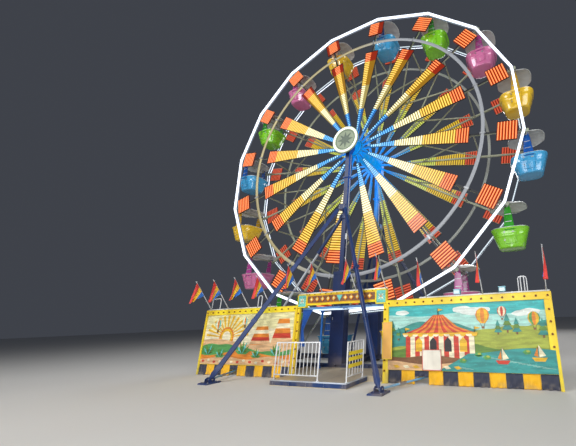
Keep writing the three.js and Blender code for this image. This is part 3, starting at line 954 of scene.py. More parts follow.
def domePoint(share, a, lift):
    reach = share * squircleReach(a, dome["power"])
    return dome["x"] * reach * math.cos(a), dome["y"] * reach * math.sin(a), dome["eave"] + lift


def domeRing(share, rise):
    places = []
    for k in range(dome["sides"]):
        a = 2 * math.pi * k / dome["sides"]
        wave = abs(math.cos(4 * a))
        scallop = 0.012 * wave if rise < 0.02 else 0
        places.append(domePoint(share, a, rise + dome["lobe"] * share * wave + scallop))
    return places


def roofForm():
    # ribbed dome with a scalloped edge, hollow underneath
    form = Form()
    profile = [(1.0, 0.0), (0.985, 0.03), (0.9, 0.07), (0.72, 0.115), (0.48, 0.15), (0.22, 0.17)]
    profile += [(0.05, 0.175)]
    under = [(0.05, 0.16), (0.22, 0.155), (0.48, 0.135), (0.72, 0.098), (0.9, 0.052), (0.965, 0.012)]
    under += [(0.975, -0.004)]
    form.loft([domeRing(share, rise) for share, rise in profile + under], 0, None, True)
    form.lathe([(0.045, 0.22), (0.045, 0.232), (0.02, 0.24), (0.006, 0.25)], 16, 1)
    for k in range(dome["ribs"]):
        a = 2 * math.pi * (k + 0.5) / dome["ribs"]
        form.tube([domePoint(share, a, rise + 0.004) for share, rise in profile[1:]], 0.008, 6, 1)
    for side in (-1, 1):
        # angle that joins the dome to the hanger
        form.box((-0.06, 0.06), between(side, 0.43, 0.5), (0.03, 0.062), 1)
    return form


def makeTubs():
    shell = tubForm()
    meshes = {}
    for paintName, _, _ in paints:
        finishes = [paintName + "Tub", paintName + "Hanger", "seatGel", "galvanised", "bolt"]
        meshes[paintName] = meshOf(f"{paintName}_tub", shell, finishes)
    roof = meshOf("tub_roof", roofForm(), ["roofGel", "galvanised"])
    for i in everyone:
        body = f"tub_{i + 1:02d}"
        place = polar(wheel["pivot"], wheel["phase"] + i * step)
        paintName = paints[i % len(paints)][0]
        piece(f"tub_shell_{i + 1:02d}", meshes[paintName], body, [body], place=place)
        piece(f"tub_roof_{i + 1:02d}", roof, body, place=place)


makeTubs()
print("tubs made")


# Masts
mast = {
    "y": 1.175, "half": 0.125, "column": 0.088, "columnY": 1.12, "towerX": 0.26, "towerY": 0.13,
    "foot": 0.2403, "towerTop": 3.3, "headHalf": 0.23, "headLow": 8.34, "headTop": 8.9,
    "bracket": (0.15, 5.65, 5.85, 1.38), "angle": 0.05, "band": 0.05, "bolt": 0.014, "cover": 0.009,
    "bands": (0.5, 1.4, 2.35, 3.2), "hatch": (1.55, 2.2), "hatchHalf": 0.17, "hinges": (1.68, 2.07),
    "joints": ((3.312, 0.125), (7.05, 0.13), (7.078, 0.13)), "jointHalf": 0.012, "boltsAt": (-0.11, 0, 0.11),
    "clips": (7.9, 7.4, 6.6, 5.95, 5.0, 4.2, 3.7), "junction": (4.5, 4.72),
}


def addTower(form, sign, middle):
    # corner angles, bands and a hatch on the tower
    wide, deep, top = mast["towerX"], mast["towerY"], mast["towerTop"]
    form.box(about(0, wide), about(middle, deep), (mast["foot"], top))
    for cx, cy in square(1):
        x = between(cx, wide - mast["angle"], wide + 0.006)
        y = between(cy, deep - mast["angle"], deep + 0.006, middle)
        form.box(x, y, (mast["foot"], top + 0.004), 1)
    for z in mast["bands"]:
        x, y = about(0, wide + mast["cover"]), about(middle, deep + mast["cover"])
        form.box(x, y, (z, z + mast["band"]), 1)
    half, face = mast["hatchHalf"], deep + 0.012
    form.box((-half, half), between(sign, deep - 0.01, face, middle), mast["hatch"], 1)
    for z in mast["hinges"]:
        form.tube([(-half - 0.012, middle + sign * face, end) for end in about(z, 0.05)], 0.012, 10, 2)


def addColumn(form, middle):
    # the column with its flange joints, and a conduit down one side to a junction box
    top = mast["towerTop"]
    shoulder = mast["headLow"] - 0.2
    form.box(about(0, mast["column"]), about(middle, mast["column"]), (top, shoulder))
    for z, reach in mast["joints"]:
        form.box(about(0, reach + 0.01), about(middle, reach), about(z, mast["jointHalf"]), 1)
    for z, reach in ((7.09, 0.109), (top + 0.024, 0.106)):
        form.bolts(mast["boltsAt"], about(middle, reach), (z,), up, 0.013, 3)
    side = mast["column"] + 0.022
    form.tube([(side, middle, z) for z in (8.1, 5.95, top + 0.2)], 0.014, 8, 2)
    for z in mast["clips"]:
        form.box((side - 0.024, side + 0.018), about(middle, 0.022), (z, z + 0.025), 2)
    form.box((side - 0.03, side + 0.05), about(middle, 0.07), mast["junction"], 2)


def addHead(form, y, middle, sign):
    # bearing housing on the outer face of the head, and shims on the inner one
    half, wide = mast["half"], mast["headHalf"]
    column, low, high = mast["column"], mast["headLow"], mast["headTop"]
    levels = [(column, middle, column, low - 0.2), (wide, y, half, low)]
    levels += [(wide, y, half, high - 0.04), (wide - 0.04, y, half, high)]
    form.loft([[(w * c, centre + d * deep, z) for c, d in square(1)] for w, centre, deep, z in levels])
    for facing, depth in ((sign, 0.045), (-sign, 0.03)):
        at = lyingAlongY((0, y + facing * half, wheel["hub"]), facing)
        housing = [(0.2, -0.01), (0.2, depth * 0.6), (0.185, depth), (0.135, depth), (0.135, -0.01)]
        form.lathe(housing, 48, 1, at, True)
        for k in range(8):
            spot = polar(0.168, 22.5 + 45 * k, y + facing * (half + depth))
            form.bolt(spot, (0, facing, 0), mast["bolt"], 3)


def addBracket(form, sign):
    # leg bracket with cheek plates
    wide, low, high, out = mast["bracket"]
    root = mast["columnY"] + mast["column"] - 0.005
    form.box(about(0, wide - 0.01), between(sign, root, out - 0.01), (low + 0.02, high - 0.02))
    for z in (low, high - 0.022):
        form.box(about(0, wide), between(sign, root, out), (z, z + 0.022), 1)
    levels = (low + 0.06, high - 0.06)
    form.bolts((-0.11, 0.11), (sign * (out - 0.01),), levels, (0, sign, 0), mast["bolt"], 3)


def makeMast(name, sign):
    form = Form()
    y, middle = sign * mast["y"], sign * mast["columnY"]
    addTower(form, sign, middle)
    addColumn(form, middle)
    addHead(form, y, middle, sign)
    addBracket(form, sign)
    paint = f"{name}Mast"
    finishes = [paint, paint, "galvanised", "bolt"]
    onBase(f"{name}_mast_dressed", form, finishes, [f"{name}_mast"], 28, 0.006)


def mastEnamel(name, front, sides):
    # navy low down, in the blue light of the hub lamps higher up
    coat = enamel(name, front, streaks=0.12)
    cloud = coat.noise(1.1, 5.0)
    lit = coat.rise(coat.axis("Z"), 4.6, 7.6)
    if name.startswith("front"):
        lit = lit * coat.rise(coat.axis("Y", "Normal"), -0.8, -0.4)
    coat.overlay(lit, coat.mix(cloud, shade(sides, 0.8), shade(sides, 1.2)))
    coat.glow(coat.mix(lit, (0.0, 0.0, 0.0), sides), 0.45)
    return coat


coats["frontMast"] = mastEnamel("front_mast_enamel", (0.006, 0.022, 0.10), (0.005, 0.06, 0.30))
coats["rearMast"] = mastEnamel("rear_mast_enamel", (0.006, 0.026, 0.12), (0.002, 0.26, 0.90))
for name, sign in planes:
    makeMast(name, sign)
print("masts made")


# Legs of box section, with a joint half way, bands and a foot with a pin
leg = {
    "x": {"left": -2.6, "right": 2.87}, "y": 3.34, "foot": 0.19, "plate": 0.04, "pin": 0.1, "cut": 0.012,
    "top": (0.10, 1.34, 5.76), "across": 0.043, "deep": 0.066, "begin": 0.13, "joint": 0.46, "flange": 0.035,
}
tie = {"run": 1.13, "y": 1.267, "z": 0.15, "radius": 0.026, "light": 0.017, "slack": 0.07, "held": 0.545}


def boxRing(grow, z):
    # a box section with its corners taken off
    u, v, cut = leg["across"] + grow, leg["deep"] + grow, leg["cut"]
    quarter = [(u - cut, -v), (u, cut - v), (u, v - cut), (u - cut, v)]
    return [(x, y, z) for x, y in quarter + [(-x, -y) for x, y in quarter]]


def lyingAlong(start, end):
    # local Z points from start to end
    run = Vector(end) - Vector(start)
    return Matrix.Translation(start) @ run.to_track_quat("Z", "Y").to_matrix().to_4x4(), run.length


def addFoot(form, x, y):
    half, plate, pin = leg["foot"], leg["plate"], leg["pin"]
    levels = ((half, 0), (half, plate * 0.7), (half - 0.014, plate))
    form.loft([[(x + cx * w, y + cy * w, z) for cx, cy in square(1)] for w, z in levels])
    form.bolts(about(x, 0.14), about(y, 0.14), (plate,), up, 0.021, 2)
    low = plate - 0.002
    cheek = [(-0.09, low), (0.09, low), (0.085, 0.12), (0.04, 0.16), (-0.04, 0.16), (-0.085, 0.12)]
    for middle in about(x, 0.078):
        form.loft([[(v, y + u, z) for u, z in cheek] for v in about(middle, 0.009)])
    form.tube([(v, y, pin) for v in about(x, 0.105)], 0.02, 14, 2)


def addTies(form, x, y, side, held):
    # the bar along the ground with its turnbuckle, and a light tie across to the tower
    start, end = (x, y, 0.09), (x + side * tie["run"], -tie["y"], tie["z"])
    form.tube([start, end], tie["radius"], 14, 1)
    bar, reach = lyingAlong(start, end)
    form.lathe([(0.028, 0.55), (0.04, 0.56), (0.04, 0.74), (0.028, 0.75)], 6, 2, bar)
    collar = [(0.03, 0.13), (0.042, 0.12), (0.042, 0.01), (0.03, 0)]
    form.lathe([(r, reach - short) for r, short in collar], 14, 1, bar)
    seat = Vector((side * 0.27, -mast["columnY"], 2.62))
    slack = [held.lerp(seat, k / 8) - up * tie["slack"] * math.sin(math.pi * k / 8) for k in range(9)]
    form.tube(slack, tie["light"], 8, 3)


def makeLeg(name, sign, hand, side):
    form = Form()
    x, y = leg["x"][hand], sign * leg["y"]
    top = Vector((side * leg["top"][0], sign * leg["top"][1], leg["top"][2]))
    pin = Vector((x, y, leg["pin"]))
    at, length = lyingAlong(top, pin)
    joint, flange = leg["joint"] * length, leg["flange"]
    stations = [(-0.006, leg["begin"]), (0, leg["begin"] + 0.02), (0, joint - 0.03), (flange, joint - 0.03)]
    stations += [(flange, joint - 0.002), (0.03, joint), (flange, joint + 0.002), (flange, joint + 0.03)]
    stations += [(0, joint + 0.03), (0, length - 0.42), (0.01, length - 0.40), (0.01, length - 0.16)]
    stations += [(0, length - 0.13), (-0.02, length)]
    form.loft([boxRing(grow, z) for grow, z in stations], 0, at)
    across, deep = leg["across"] + 0.018, leg["deep"] + 0.018
    for u, v in ((across, 0.05), (across, -0.05), (0.026, deep), (-0.026, deep)):
        for turn in (-1, 1):
            form.bolt(at @ Vector((u * turn, v * turn, joint + 0.03)), at.to_3x3() @ up, 0.010, 2)
    for share in (0.14, 0.72):
        band = ((0.001, -0.05), (0.009, -0.045), (0.009, 0.045), (0.001, 0.05))
        form.loft([boxRing(grow, share * length + shift) for grow, shift in band], 0, at)
    addFoot(form, x, y)
    if name == "front":
        addTies(form, x, y, side, top.lerp(pin, tie["held"]))
    finishes = ["legBlue", "paleBlue", "bolt", "navy"]
    onBase(f"{name}_{hand}_leg_dressed", form, finishes, [f"{name}_{hand}_leg"], 35, 0.002)


for name, sign in planes:
    for hand, side in (("left", -1), ("right", 1)):
        makeLeg(name, sign, hand, side)
print("legs made")


# Telescopic props, from a collar on each column down to the left end of the sill
prop = {
    "half": 0.13, "low": 5.33, "high": 5.52, "x": -3.9, "z": 0.33, "share": 0.26,
    "barrel": 0.062, "rod": 0.04, "cheekAt": 0.068, "seat": (0.2403, 0.262),
}


def addCollar(form, middle):
    half, heights = prop["half"], (prop["low"], prop["high"])
    inner = mast["column"] + 0.0008
    for side in (-1, 1):
        form.box(between(side, inner, half), about(middle, half - 0.01), heights)
        form.box(about(0, inner), between(side, inner, half - 0.01, middle), heights)
        levels = (prop["low"] + 0.045, prop["high"] - 0.045)
        form.bolts((-0.06, 0.06), (middle + side * (half - 0.01),), levels, (0, side, 0), 0.014, 2)


def makeProp(name, sign):
    form = Form()
    y, middle = sign * mast["y"], sign * mast["columnY"]
    addCollar(form, middle)
    start = (-prop["half"] - 0.02, middle, (prop["low"] + prop["high"]) / 2)
    end = (prop["x"], y, prop["z"])
    at, length = lyingAlong(start, end)
    wide, rod, out = prop["barrel"], prop["rod"], prop["share"] * length
    lip = wide + 0.012
    barrel = [(wide * 0.6, -0.02), (wide, 0.05), (wide, out - 0.07), (lip, out - 0.06), (lip, out)]
    form.lathe(barrel, 24, 0, at)
    form.lathe([(wide * 0.8, out), (wide * 0.78, out + 0.02), (rod, out + 0.022)], 24, 2, at)
    eye = [(rod, length - 0.22), (rod + 0.014, length - 0.2), (rod + 0.014, length - 0.06), (rod, length)]
    form.lathe([(rod, out - 0.1)] + eye, 20, 1, at)
    for share in (0.25, 0.7):
        band = ((0, 0), (0.008, 0.01), (0.008, 0.05), (0, 0.06))
        form.lathe([(wide + grow, share * out + z) for grow, z in band], 24, 0, at)
    cheek = [(-1, -1), (1, -1), (0.7, 0.8), (-0.7, 0.8)]
    for (x, level, z), size in ((start, 0.09), (end, 0.08)):
        for plane in about(level, prop["cheekAt"]):
            form.plate([(x + u * size, z + v * size) for u, v in cheek], *about(plane, 0.008))
        form.tube([(x, v, z) for v in about(level, 0.09)], 0.018, 12, 2)
    form.box(about(prop["x"], 0.085), about(y, 0.075), prop["seat"])
    onBase(f"{name}_prop_dressed", form, ["navy", "paleGrey", "bolt"], [f"{name}_prop"], 35)


coats["paleGrey"] = enamel("prop_grey_enamel", (0.46, 0.50, 0.54), 0.3, streaks=0.1)
for name, sign in planes:
    makeProp(name, sign)


# Base frame: two sills and three cross beams of rolled section on ground pads
sill = {
    "half": 4.05, "width": 0.16, "low": 0.06, "top": 0.24, "web": 0.012, "flange": 0.018,
    "crossAt": (-3.9, 0, 3.9), "crossWidth": 0.15, "ribs": 9, "ribPitch": 0.42, "pad": 0.03,
}


def beam(form, start, end, width, low, high):
    # an I section, upright, from start to end in plan
    w, t, f = width / 2, sill["web"] / 2, sill["flange"]
    section = [(-w, low), (w, low), (w, low + f), (t, low + f), (t, high - f), (w, high - f), (w, high)]
    section += [(-w, high), (-w, high - f), (-t, high - f), (-t, low + f), (-w, low + f)]
    ahead = (Vector(end) - Vector(start)).normalized()
    across = Vector((ahead.y, -ahead.x, 0))
    form.loft([[Vector(p) + across * u + up * z for u, z in section] for p in (start, end)])


def addSill(form, y):
    half, low, top, w = sill["half"], sill["low"], sill["top"], sill["width"] / 2
    beam(form, (-half, y, 0), (half, y, 0), sill["width"], low, top)
    for end in (-1, 1):
        form.box(between(end, half - sill["web"], half), about(y, w), (low, top))
    for k in range(-sill["ribs"], sill["ribs"] + 1):
        for face in (-1, 1):
            rib = between(face, 0.006, w - 0.006, y)
            form.box(about(k * sill["ribPitch"], 0.005), rib, (low + 0.016, top - 0.016))
    for x in sill["crossAt"]:
        form.box(about(x, 0.25), about(y, w), (0, sill["pad"]), 1)
        form.box(about(x, 0.21), about(y, w - 0.01), (sill["pad"], low + 0.002), 1)
        form.bolts(about(x, 0.19), about(y, 0.055), (top,), up, 0.015, 2)


def makeBase():
    form = Form()
    low, top = sill["low"], sill["top"]
    for _, sign in planes:
        addSill(form, sign * mast["y"])
    for x in sill["crossAt"]:
        start, end = ((x, y, 0) for y in about(0, mast["y"] - 0.07))
        beam(form, start, end, sill["crossWidth"], low, top - 0.02)
        for _, sign in planes:
            y = sign * (mast["y"] - 0.081)
            form.box(about(x, 0.095), about(y, 0.012), (low + 0.01, top - 0.012))
            form.bolts(about(x, 0.06), (y - sign * 0.012,), (0.11, 0.18), (0, -sign, 0), 0.012, 2)
    form.box(about(0, 0.2), about(0, 0.2), (0, sill["pad"]), 1)
    form.box(about(0, 0.16), about(0, 0.16), (sill["pad"], low + 0.002), 1)
    onBase("base_frame_dressed", form, ["navy", "sleeper", "bolt"], ["base_frame"], 30, 0.002)


coats["sleeper"] = enamel("ground_pad_paint", (0.06, 0.06, 0.065), 0.6)
makeBase()
print("props and base made")


# Entrance front: panels and portal keep their solids; pictures, borders and lamps stand on them
front = {
    "y": -2.4, "top": 2.1, "skirt": 0.33, "border": 0.175, "left": (-4.7, -0.6003), "right": (2.5303, 6.77),
}
portal = {"left": -0.6, "right": 2.53, "headLow": 2.08, "headHigh": 2.43, "corner": 0.35}
ink = {
    "sky": (0.06, 0.50, 0.50), "mist": (0.42, 0.74, 0.66), "cloud": (0.80, 0.86, 0.80),
    "farHill": (0.05, 0.30, 0.26), "lime": (0.40, 0.46, 0.07), "moss": (0.14, 0.27, 0.05),
    "pond": (0.05, 0.34, 0.32), "ripple": (0.30, 0.58, 0.50), "red": (0.62, 0.055, 0.03),
    "cream": (0.92, 0.84, 0.58), "gold": (0.86, 0.50, 0.03), "earth": (0.24, 0.11, 0.05),
    "dark": (0.035, 0.025, 0.03), "orange": (0.80, 0.26, 0.035), "peach": (0.80, 0.50, 0.26),
    "leaf": (0.10, 0.36, 0.10), "sand": (0.86, 0.80, 0.42), "turquoise": (0.16, 0.60, 0.52),
}
picture = {
    "floor": 0.338, "top": 1.929, "right": (2.603, 6.70), "left": (-4.63, -0.672), "board": 0.003,
    "clouds": (
        (3.0, 1.74, 0.2), (4.66, 1.77, 0.26), (4.9, 1.72, 0.3),
        (5.16, 1.75, 0.2), (6.25, 1.66, 0.24), (6.05, 1.63, 0.2),
    ),
    "pines": (
        (5.5, 1.16, 0.32), (5.72, 1.2, 0.42), (5.93, 1.16, 0.36),
        (6.5, 1.08, 0.4), (2.72, 1.12, 0.4), (2.9, 1.05, 0.3),
    ),
    "pads": ((5.0, 0.72), (5.2, 0.66), (6.1, 0.78), (4.62, 0.58)),
    "boats": ((5.55, 0.55, "red"), (6.35, 0.62, "gold")),
    "fans": (
        (-4.3, 0.62, 0.32), (-3.72, 0.55, 0.26), (-2.7, 0.66, 0.34), (-2.1, 0.56, 0.24), (-1.3, 0.62, 0.3),
    ),
    "rocks": ((-2.5, -1.55, 1.5), (-1.6, -0.7, 1.72)),
    "layers": ("orange", "peach", "red", "orange", "cream", "orange"),
    "tent": (3.12, 4.92, 0.62, 1.2, 1.66),
    "balloons": {
        "right": (
            (5.15, 1.62, 0.17, ("orange", "gold")),
            (5.62, 1.70, 0.11, ("red", "cream")),
            (6.33, 1.52, 0.14, ("gold", "leaf", "orange")),
        ),
        "left": (
            (-4.0, 1.62, 0.15, ("turquoise", "cream", "orange")),
            (-2.75, 1.70, 0.12, ("turquoise", "cream", "orange")),
        ),
    },
}


def block(x0, x1, z0, z1):
    return [(x0, z0), (x1, z0), (x1, z1), (x0, z1)]


def spread(low, high, parts):
    return [low + (high - low) * k / parts for k in range(parts + 1)]


# Shapes laid over each other on the board, each a little prouder than the last
class Picture:
    def __init__(self, side):
        self.form = Form()
        self.low, self.high = picture[side]
        self.floor, self.top = picture["floor"], picture["top"]
        self.depth = picture["board"]

    def lay(self, outline, tone, proud=0.0):
        kept = []
        for x, z in outline:
            kept.append((min(max(x, self.low), self.high), min(max(z, self.floor), self.top)))
        self.form.plate(kept, front["y"] - self.depth - proud, front["y"] + 0.001, paint=ink[tone])

    def layAt(self, x, z, outline, tone):
        self.lay([(x + u, z + v) for u, v in outline], tone)

    def next(self, share=0.0012):
        self.depth += share

    def ground(self, crest, tone, start=None, end=None, cuts=36):
        xs = spread(start or self.low, end or self.high, cuts)
        for a, b in zip(xs, xs[1:]):
            self.lay([(a, self.floor), (b, self.floor), (b, crest(b)), (a, crest(a))], tone)
        self.next()

    def round(self, x, z, wide, tall, tone, sides=22, wobble=0.0):
        spots = []
        for k in range(sides):
            a = 2 * math.pi * k / sides
            reach = 1 + wobble * math.sin(5 * a + x * 7)
            spots.append((x + wide * reach * math.cos(a), z + tall * reach * math.sin(a)))
        self.lay(spots, tone)

    def line(self, points, width, tone):
        for (x0, z0), (x1, z1) in zip(points, points[1:]):
            run = Vector((x1 - x0, z1 - z0)).normalized() * width / 2
            ends = [(x0 + run.y, z0 - run.x), (x1 + run.y, z1 - run.x)]
            self.lay(ends + [(x1 - run.y, z1 + run.x), (x0 - run.y, z0 + run.x)], tone)

    def pine(self, x, z, tall):
        self.lay(block(x - 0.02, x + 0.02, z, z + tall * 0.3), "earth")
        self.next()
        for k in range(3):
            w, low = tall * (0.3 - 0.07 * k), z + tall * (0.18 + 0.24 * k)
            branch = [(x - w, low), (x, low - tall * 0.04), (x + w, low), (x, low + tall * 0.4)]
            self.lay(branch, "moss" if k % 2 else "farHill")
            self.next(0.0006)

    def balloon(self, x, z, size, tones):
        rows = [(-1.15, 0.32), (-0.6, 0.82), (0, 1.0), (0.6, 0.8), (0.93, 0.37), (1.0, 0.1)]
        edges = [-math.cos(a) * size for a in spread(0, math.pi, 5)]
        for k, (left, right) in enumerate(zip(edges, edges[1:])):
            outline = [(x + left * w, z + t * size) for t, w in rows]
            outline += [(x + right * w, z + t * size) for t, w in rows[::-1]]
            self.lay(outline, tones[k % len(tones)])
        low, w = z - 1.15 * size, size * 0.2
        for side in (-1, 1):
            cord = [(x + side * size * 0.3, low), (x + side * size * 0.17, low - size * 0.42)]
            self.line(cord, 0.007, "dark")
        foot, rim = low - size * 0.72, low - size * 0.4
        self.lay([(x - w, foot), (x + w, foot), (x + w * 1.15, rim), (x - w * 1.15, rim)], "earth")
        self.next()

    def marquee(self, x0, x1, floor, eave, peak):
        # striped walls, dark doorway, a swept roof with a scalloped valance and pennants
        count = 14
        edges = spread(x0, x1, count)
        for k, (a, b) in enumerate(zip(edges, edges[1:])):
            self.lay(block(a, b, floor, eave), "cream" if k % 2 else "red")
        self.next()
        wide = (x1 - x0) / count
        for k in (2, 5, 8, 11):
            a = x0 + (k + 0.15) * wide
            b = a + wide * 1.4
            arch = [(a, floor + 0.16), (b, floor + 0.16), (b, eave - 0.18), ((a + b) / 2, eave - 0.08)]
            self.lay(arch + [(a, eave - 0.18)], "dark" if k in (5, 8) else "gold")
        self.next()
        middle = (x0 + x1) / 2
        edges = spread(x0 - 0.08, x1 + 0.08, count)
        for k, (a, b) in enumerate(zip(edges, edges[1:])):
            top = [(middle + (v - middle) * 0.13, peak) for v in (b, a)]
            waist = [(middle + (v - middle) * 0.5, eave + (peak - eave) * 0.36) for v in (b, a)]
            self.lay([(a, eave), (b, eave), waist[0], *top, waist[1]], "orange" if k % 2 else "red")
            self.round((a + b) / 2, eave - 0.02, (b - a) * 0.5, 0.05, "gold" if k % 2 else "cream", 12)
        self.next()
        self.lay(block(x0 - 0.09, x1 + 0.09, eave - 0.012, eave + 0.022), "gold", 0.001)
        for x, foot in ((x0 - 0.02, eave), (middle, peak), (x1 + 0.02, eave)):
            self.line([(x, foot), (x, foot + 0.16)], 0.012, "dark")
            self.lay([(x, foot + 0.16), (x, foot + 0.09), (x + 0.14, foot + 0.125)], "gold")
        self.next()

    def leafFan(self, x, z, size, tones):
        for k in range(7):
            a = math.radians(15 + 25 * k)
            run, climb = size * math.cos(a), size * math.sin(a)
            tip = (x + run, z + climb * 1.15)
            low, high = ((x + run / 2 + t * climb, z + climb * 0.575 - t * run) for t in (0.16, -0.16))
            self.lay([(x, z), low, tip, high], tones[k % len(tones)])
        self.next()

    def finish(self, name):
        onBase(name, self.form, ["boardPaint"])


sunrise = {"x": -3.55, "z": 1.18, "rays": 13, "wide": 1.0, "tall": 0.72, "spread": 0.055}


def shore(x):
    return 0.80 + 0.06 * math.sin(x * 2.3) - 0.62 * max(0.0, 4.75 - x)


def rightPicture():
    # a fair tent by a pond, with hills, balloons and toy boats
    view = Picture("right")
    low, high = view.low, view.high
    view.ground(lambda x: view.top, "sky", cuts=1)
    view.ground(lambda x: 1.66 + 0.03 * math.sin(x * 3.1), "mist")
    for x, z, w in picture["clouds"]:
        view.round(x, z, w, w * 0.32, "cloud", 20, 0.06)
        view.next(0.0003)
    view.ground(lambda x: 1.38 + 0.12 * math.sin(x * 1.9 + 0.6) + 0.03 * math.sin(x * 6.0), "farHill")
    view.ground(lambda x: 1.12 + 0.24 * math.sin((x - 4.4) * 0.95) + 0.02 * math.sin(x * 9.0), "lime")
    view.ground(lambda x: 0.88 + 0.13 * math.sin((x - 3.2) * 1.5) + 0.015 * math.sin(x * 8.0), "moss")
    for balloon in picture["balloons"]["right"]:
        view.balloon(*balloon)
    for x, z, tall in picture["pines"]:
        view.pine(x, z, tall)
    view.marquee(*picture["tent"])
    view.ground(lambda x: 0.66 + 0.03 * math.sin(x * 3.7), "earth", low, 5.1)
    view.ground(lambda x: 0.52 + 0.04 * math.sin(x * 2.7 + 1), "peach", low, 4.5)
    view.ground(shore, "pond", 4.05, high, 48)
    for k in range(22):
        x = 4.5 + 2.1 * ((k * 0.618) % 1.0)
        z = 0.39 + 0.34 * ((k * 0.382 + 0.13) % 1.0)
        if z < shore(x) - 0.03:
            view.line([(x - 0.10, z), (x, z + 0.008), (x + 0.10, z)], 0.011, "ripple")
    for x, z in picture["pads"]:
        view.round(x, z, 0.09, 0.05, "leaf", 16, 0.12)
        view.next(0.0004)
        view.round(x + 0.02, z + 0.02, 0.04, 0.025, "lime", 12, 0.1)
        view.next(0.0004)
    for x, z, tone in picture["boats"]:
        view.layAt(x, z, ((-0.16, 0.05), (-0.10, -0.03), (0.11, -0.03), (0.17, 0.05)), tone)
        view.layAt(x, z, ((0, 0.06), (0.14, 0.09), (0, 0.32)), "cream")
        view.layAt(x, z, ((-0.02, 0.06), (-0.11, 0.09), (-0.02, 0.27)), "orange")
    for k in range(7):
        tone = "cream" if k % 2 else "gold"
        view.layAt(low + 0.16 + 0.27 * k, 0.44, ((0, 0), (0.12, 0.02), (0.2, -0.04), (0.08, -0.06)), tone)
    view.finish("right_picture")


def addSunrise(view):
    x, z = sunrise["x"], sunrise["z"]
    for k in range(sunrise["rays"]):
        ray = [(x, z)]
        for a in about(math.radians(7.5 + 13.75 * k), sunrise["spread"]):
            ray.append((x + sunrise["wide"] * math.cos(a), z + sunrise["tall"] * math.sin(a)))
        view.lay(ray, "gold")
    view.next()
    for reach, tone in ((0.34, "orange"), (0.28, "gold"), (0.2, "cream")):
        view.round(x, z, reach, reach, tone, 40)
        view.next()


def leftPicture():
    # a sunrise behind layered rocks, with fans of leaves in front
    view = Picture("left")
    view.ground(lambda x: view.top, "sand", cuts=1)
    view.ground(lambda x: 1.42 + 0.05 * math.sin(x * 2.2), "cream")
    addSunrise(view)
    for x0, x1, peak in picture["rocks"]:
        levels = spread(0.85, peak, len(picture["layers"]))
        for k, tone in enumerate(picture["layers"]):
            left, right = x0 + 0.05 * k, x1 - 0.03 * k
            low, high = levels[k:k + 2]
            view.lay([(left, low), (right, low), (right - 0.03, high), (left + 0.05, high)], tone)
    view.next()
    view.ground(lambda x: 1.04 + 0.10 * math.sin(x * 1.7 + 2.2), "peach")
    view.ground(lambda x: 0.86 + 0.12 * math.sin(x * 1.3 + 0.4) + 0.02 * math.sin(x * 7), "leaf")
    view.ground(lambda x: 0.70 + 0.08 * math.sin(x * 2.1 + 1.1), "orange")
    view.ground(lambda x: 0.55 + 0.05 * math.sin(x * 3.1), "peach")
    for x, z, size in picture["fans"]:
        view.leafFan(x, z, size, ("leaf", "moss", "turquoise"))
    for balloon in picture["balloons"]["left"]:
        view.balloon(*balloon)
    for k in range(15):
        tone = "cream" if k % 2 else "red"
        view.round(view.low + 0.15 + 0.27 * k, 0.44 + 0.03 * math.sin(k * 2.0), 0.06, 0.035, tone, 12, 0.1)
    view.finish("left_picture")


coats["boardPaint"] = boardPaint("picture_paint")
rightPicture()
leftPicture()
print("pictures made")


# Borders with their unlit bulbs, and the small things that stand on the panels
border = {
    "proud": 0.026, "lip": 0.012, "rise": 0.008, "margin": 0.08, "post": 0.07, "bulbPitch": 0.262,
    "sideFoot": 0.79, "sideBulbs": (1.70, 1.43, 1.16, 0.89), "narrow": 0.075,
}
bulb = {"wide": 0.021, "small": 0.012}
backs = {
    "rails": (0.42, 1.2, 2.0), "gaps": 6, "posts": (0.36, 2.07), "hoopFoot": 1.75, "hoopBar": 0.013,
    "hoops": (((-4.66, -4.24), 2.51), ((-2.42, -2.26), 2.51), ((6.07, 6.27), 2.50), ((6.13, 6.21), 2.50)),
}
lampBox = {"x": ((4.46, 4.63), (5.60, 5.76)), "z": (2.155, 2.275)}
notice = {
    "boards": (((2.452, 2.742), (0.59, 1.53), 0, 0.055), ((3.575, 4.08), (0.345, 0.83), 1, 0.03)),
    "behind": 0.03, "thick": 0.014, "lip": 0.014, "screwIn": 0.035, "stayIn": 0.08,
}


def addBulb(form, x, y, z, size=bulb["wide"]):
    at = lyingAlongY((x, y, z), -1)
    form.lathe([(size * 1.3, 0), (size * 1.3, 0.006), (size * 0.95, 0.008)], 14, 2, at)
    form.lathe([(size * 0.8, 0.006), (size, 0.014), (size * 0.86, 0.028), (size * 0.45, 0.038)], 14, 1, at)


def addRim(form, x, y, z, lip, tint=0):
    # a raised edge all round a board
    for edge in (z[0], z[1] - lip):
        form.box(x, y, (edge, edge + lip), tint)
    for edge in (x[0], x[1] - lip):
        form.box((edge, edge + lip), y, z, tint)


def addStrip(form, x, z):
    face = front["y"] - border["proud"]
    form.box(x, (face, front["y"] + 0.001), z)
    addRim(form, x, (face - border["rise"], face), z, border["lip"])


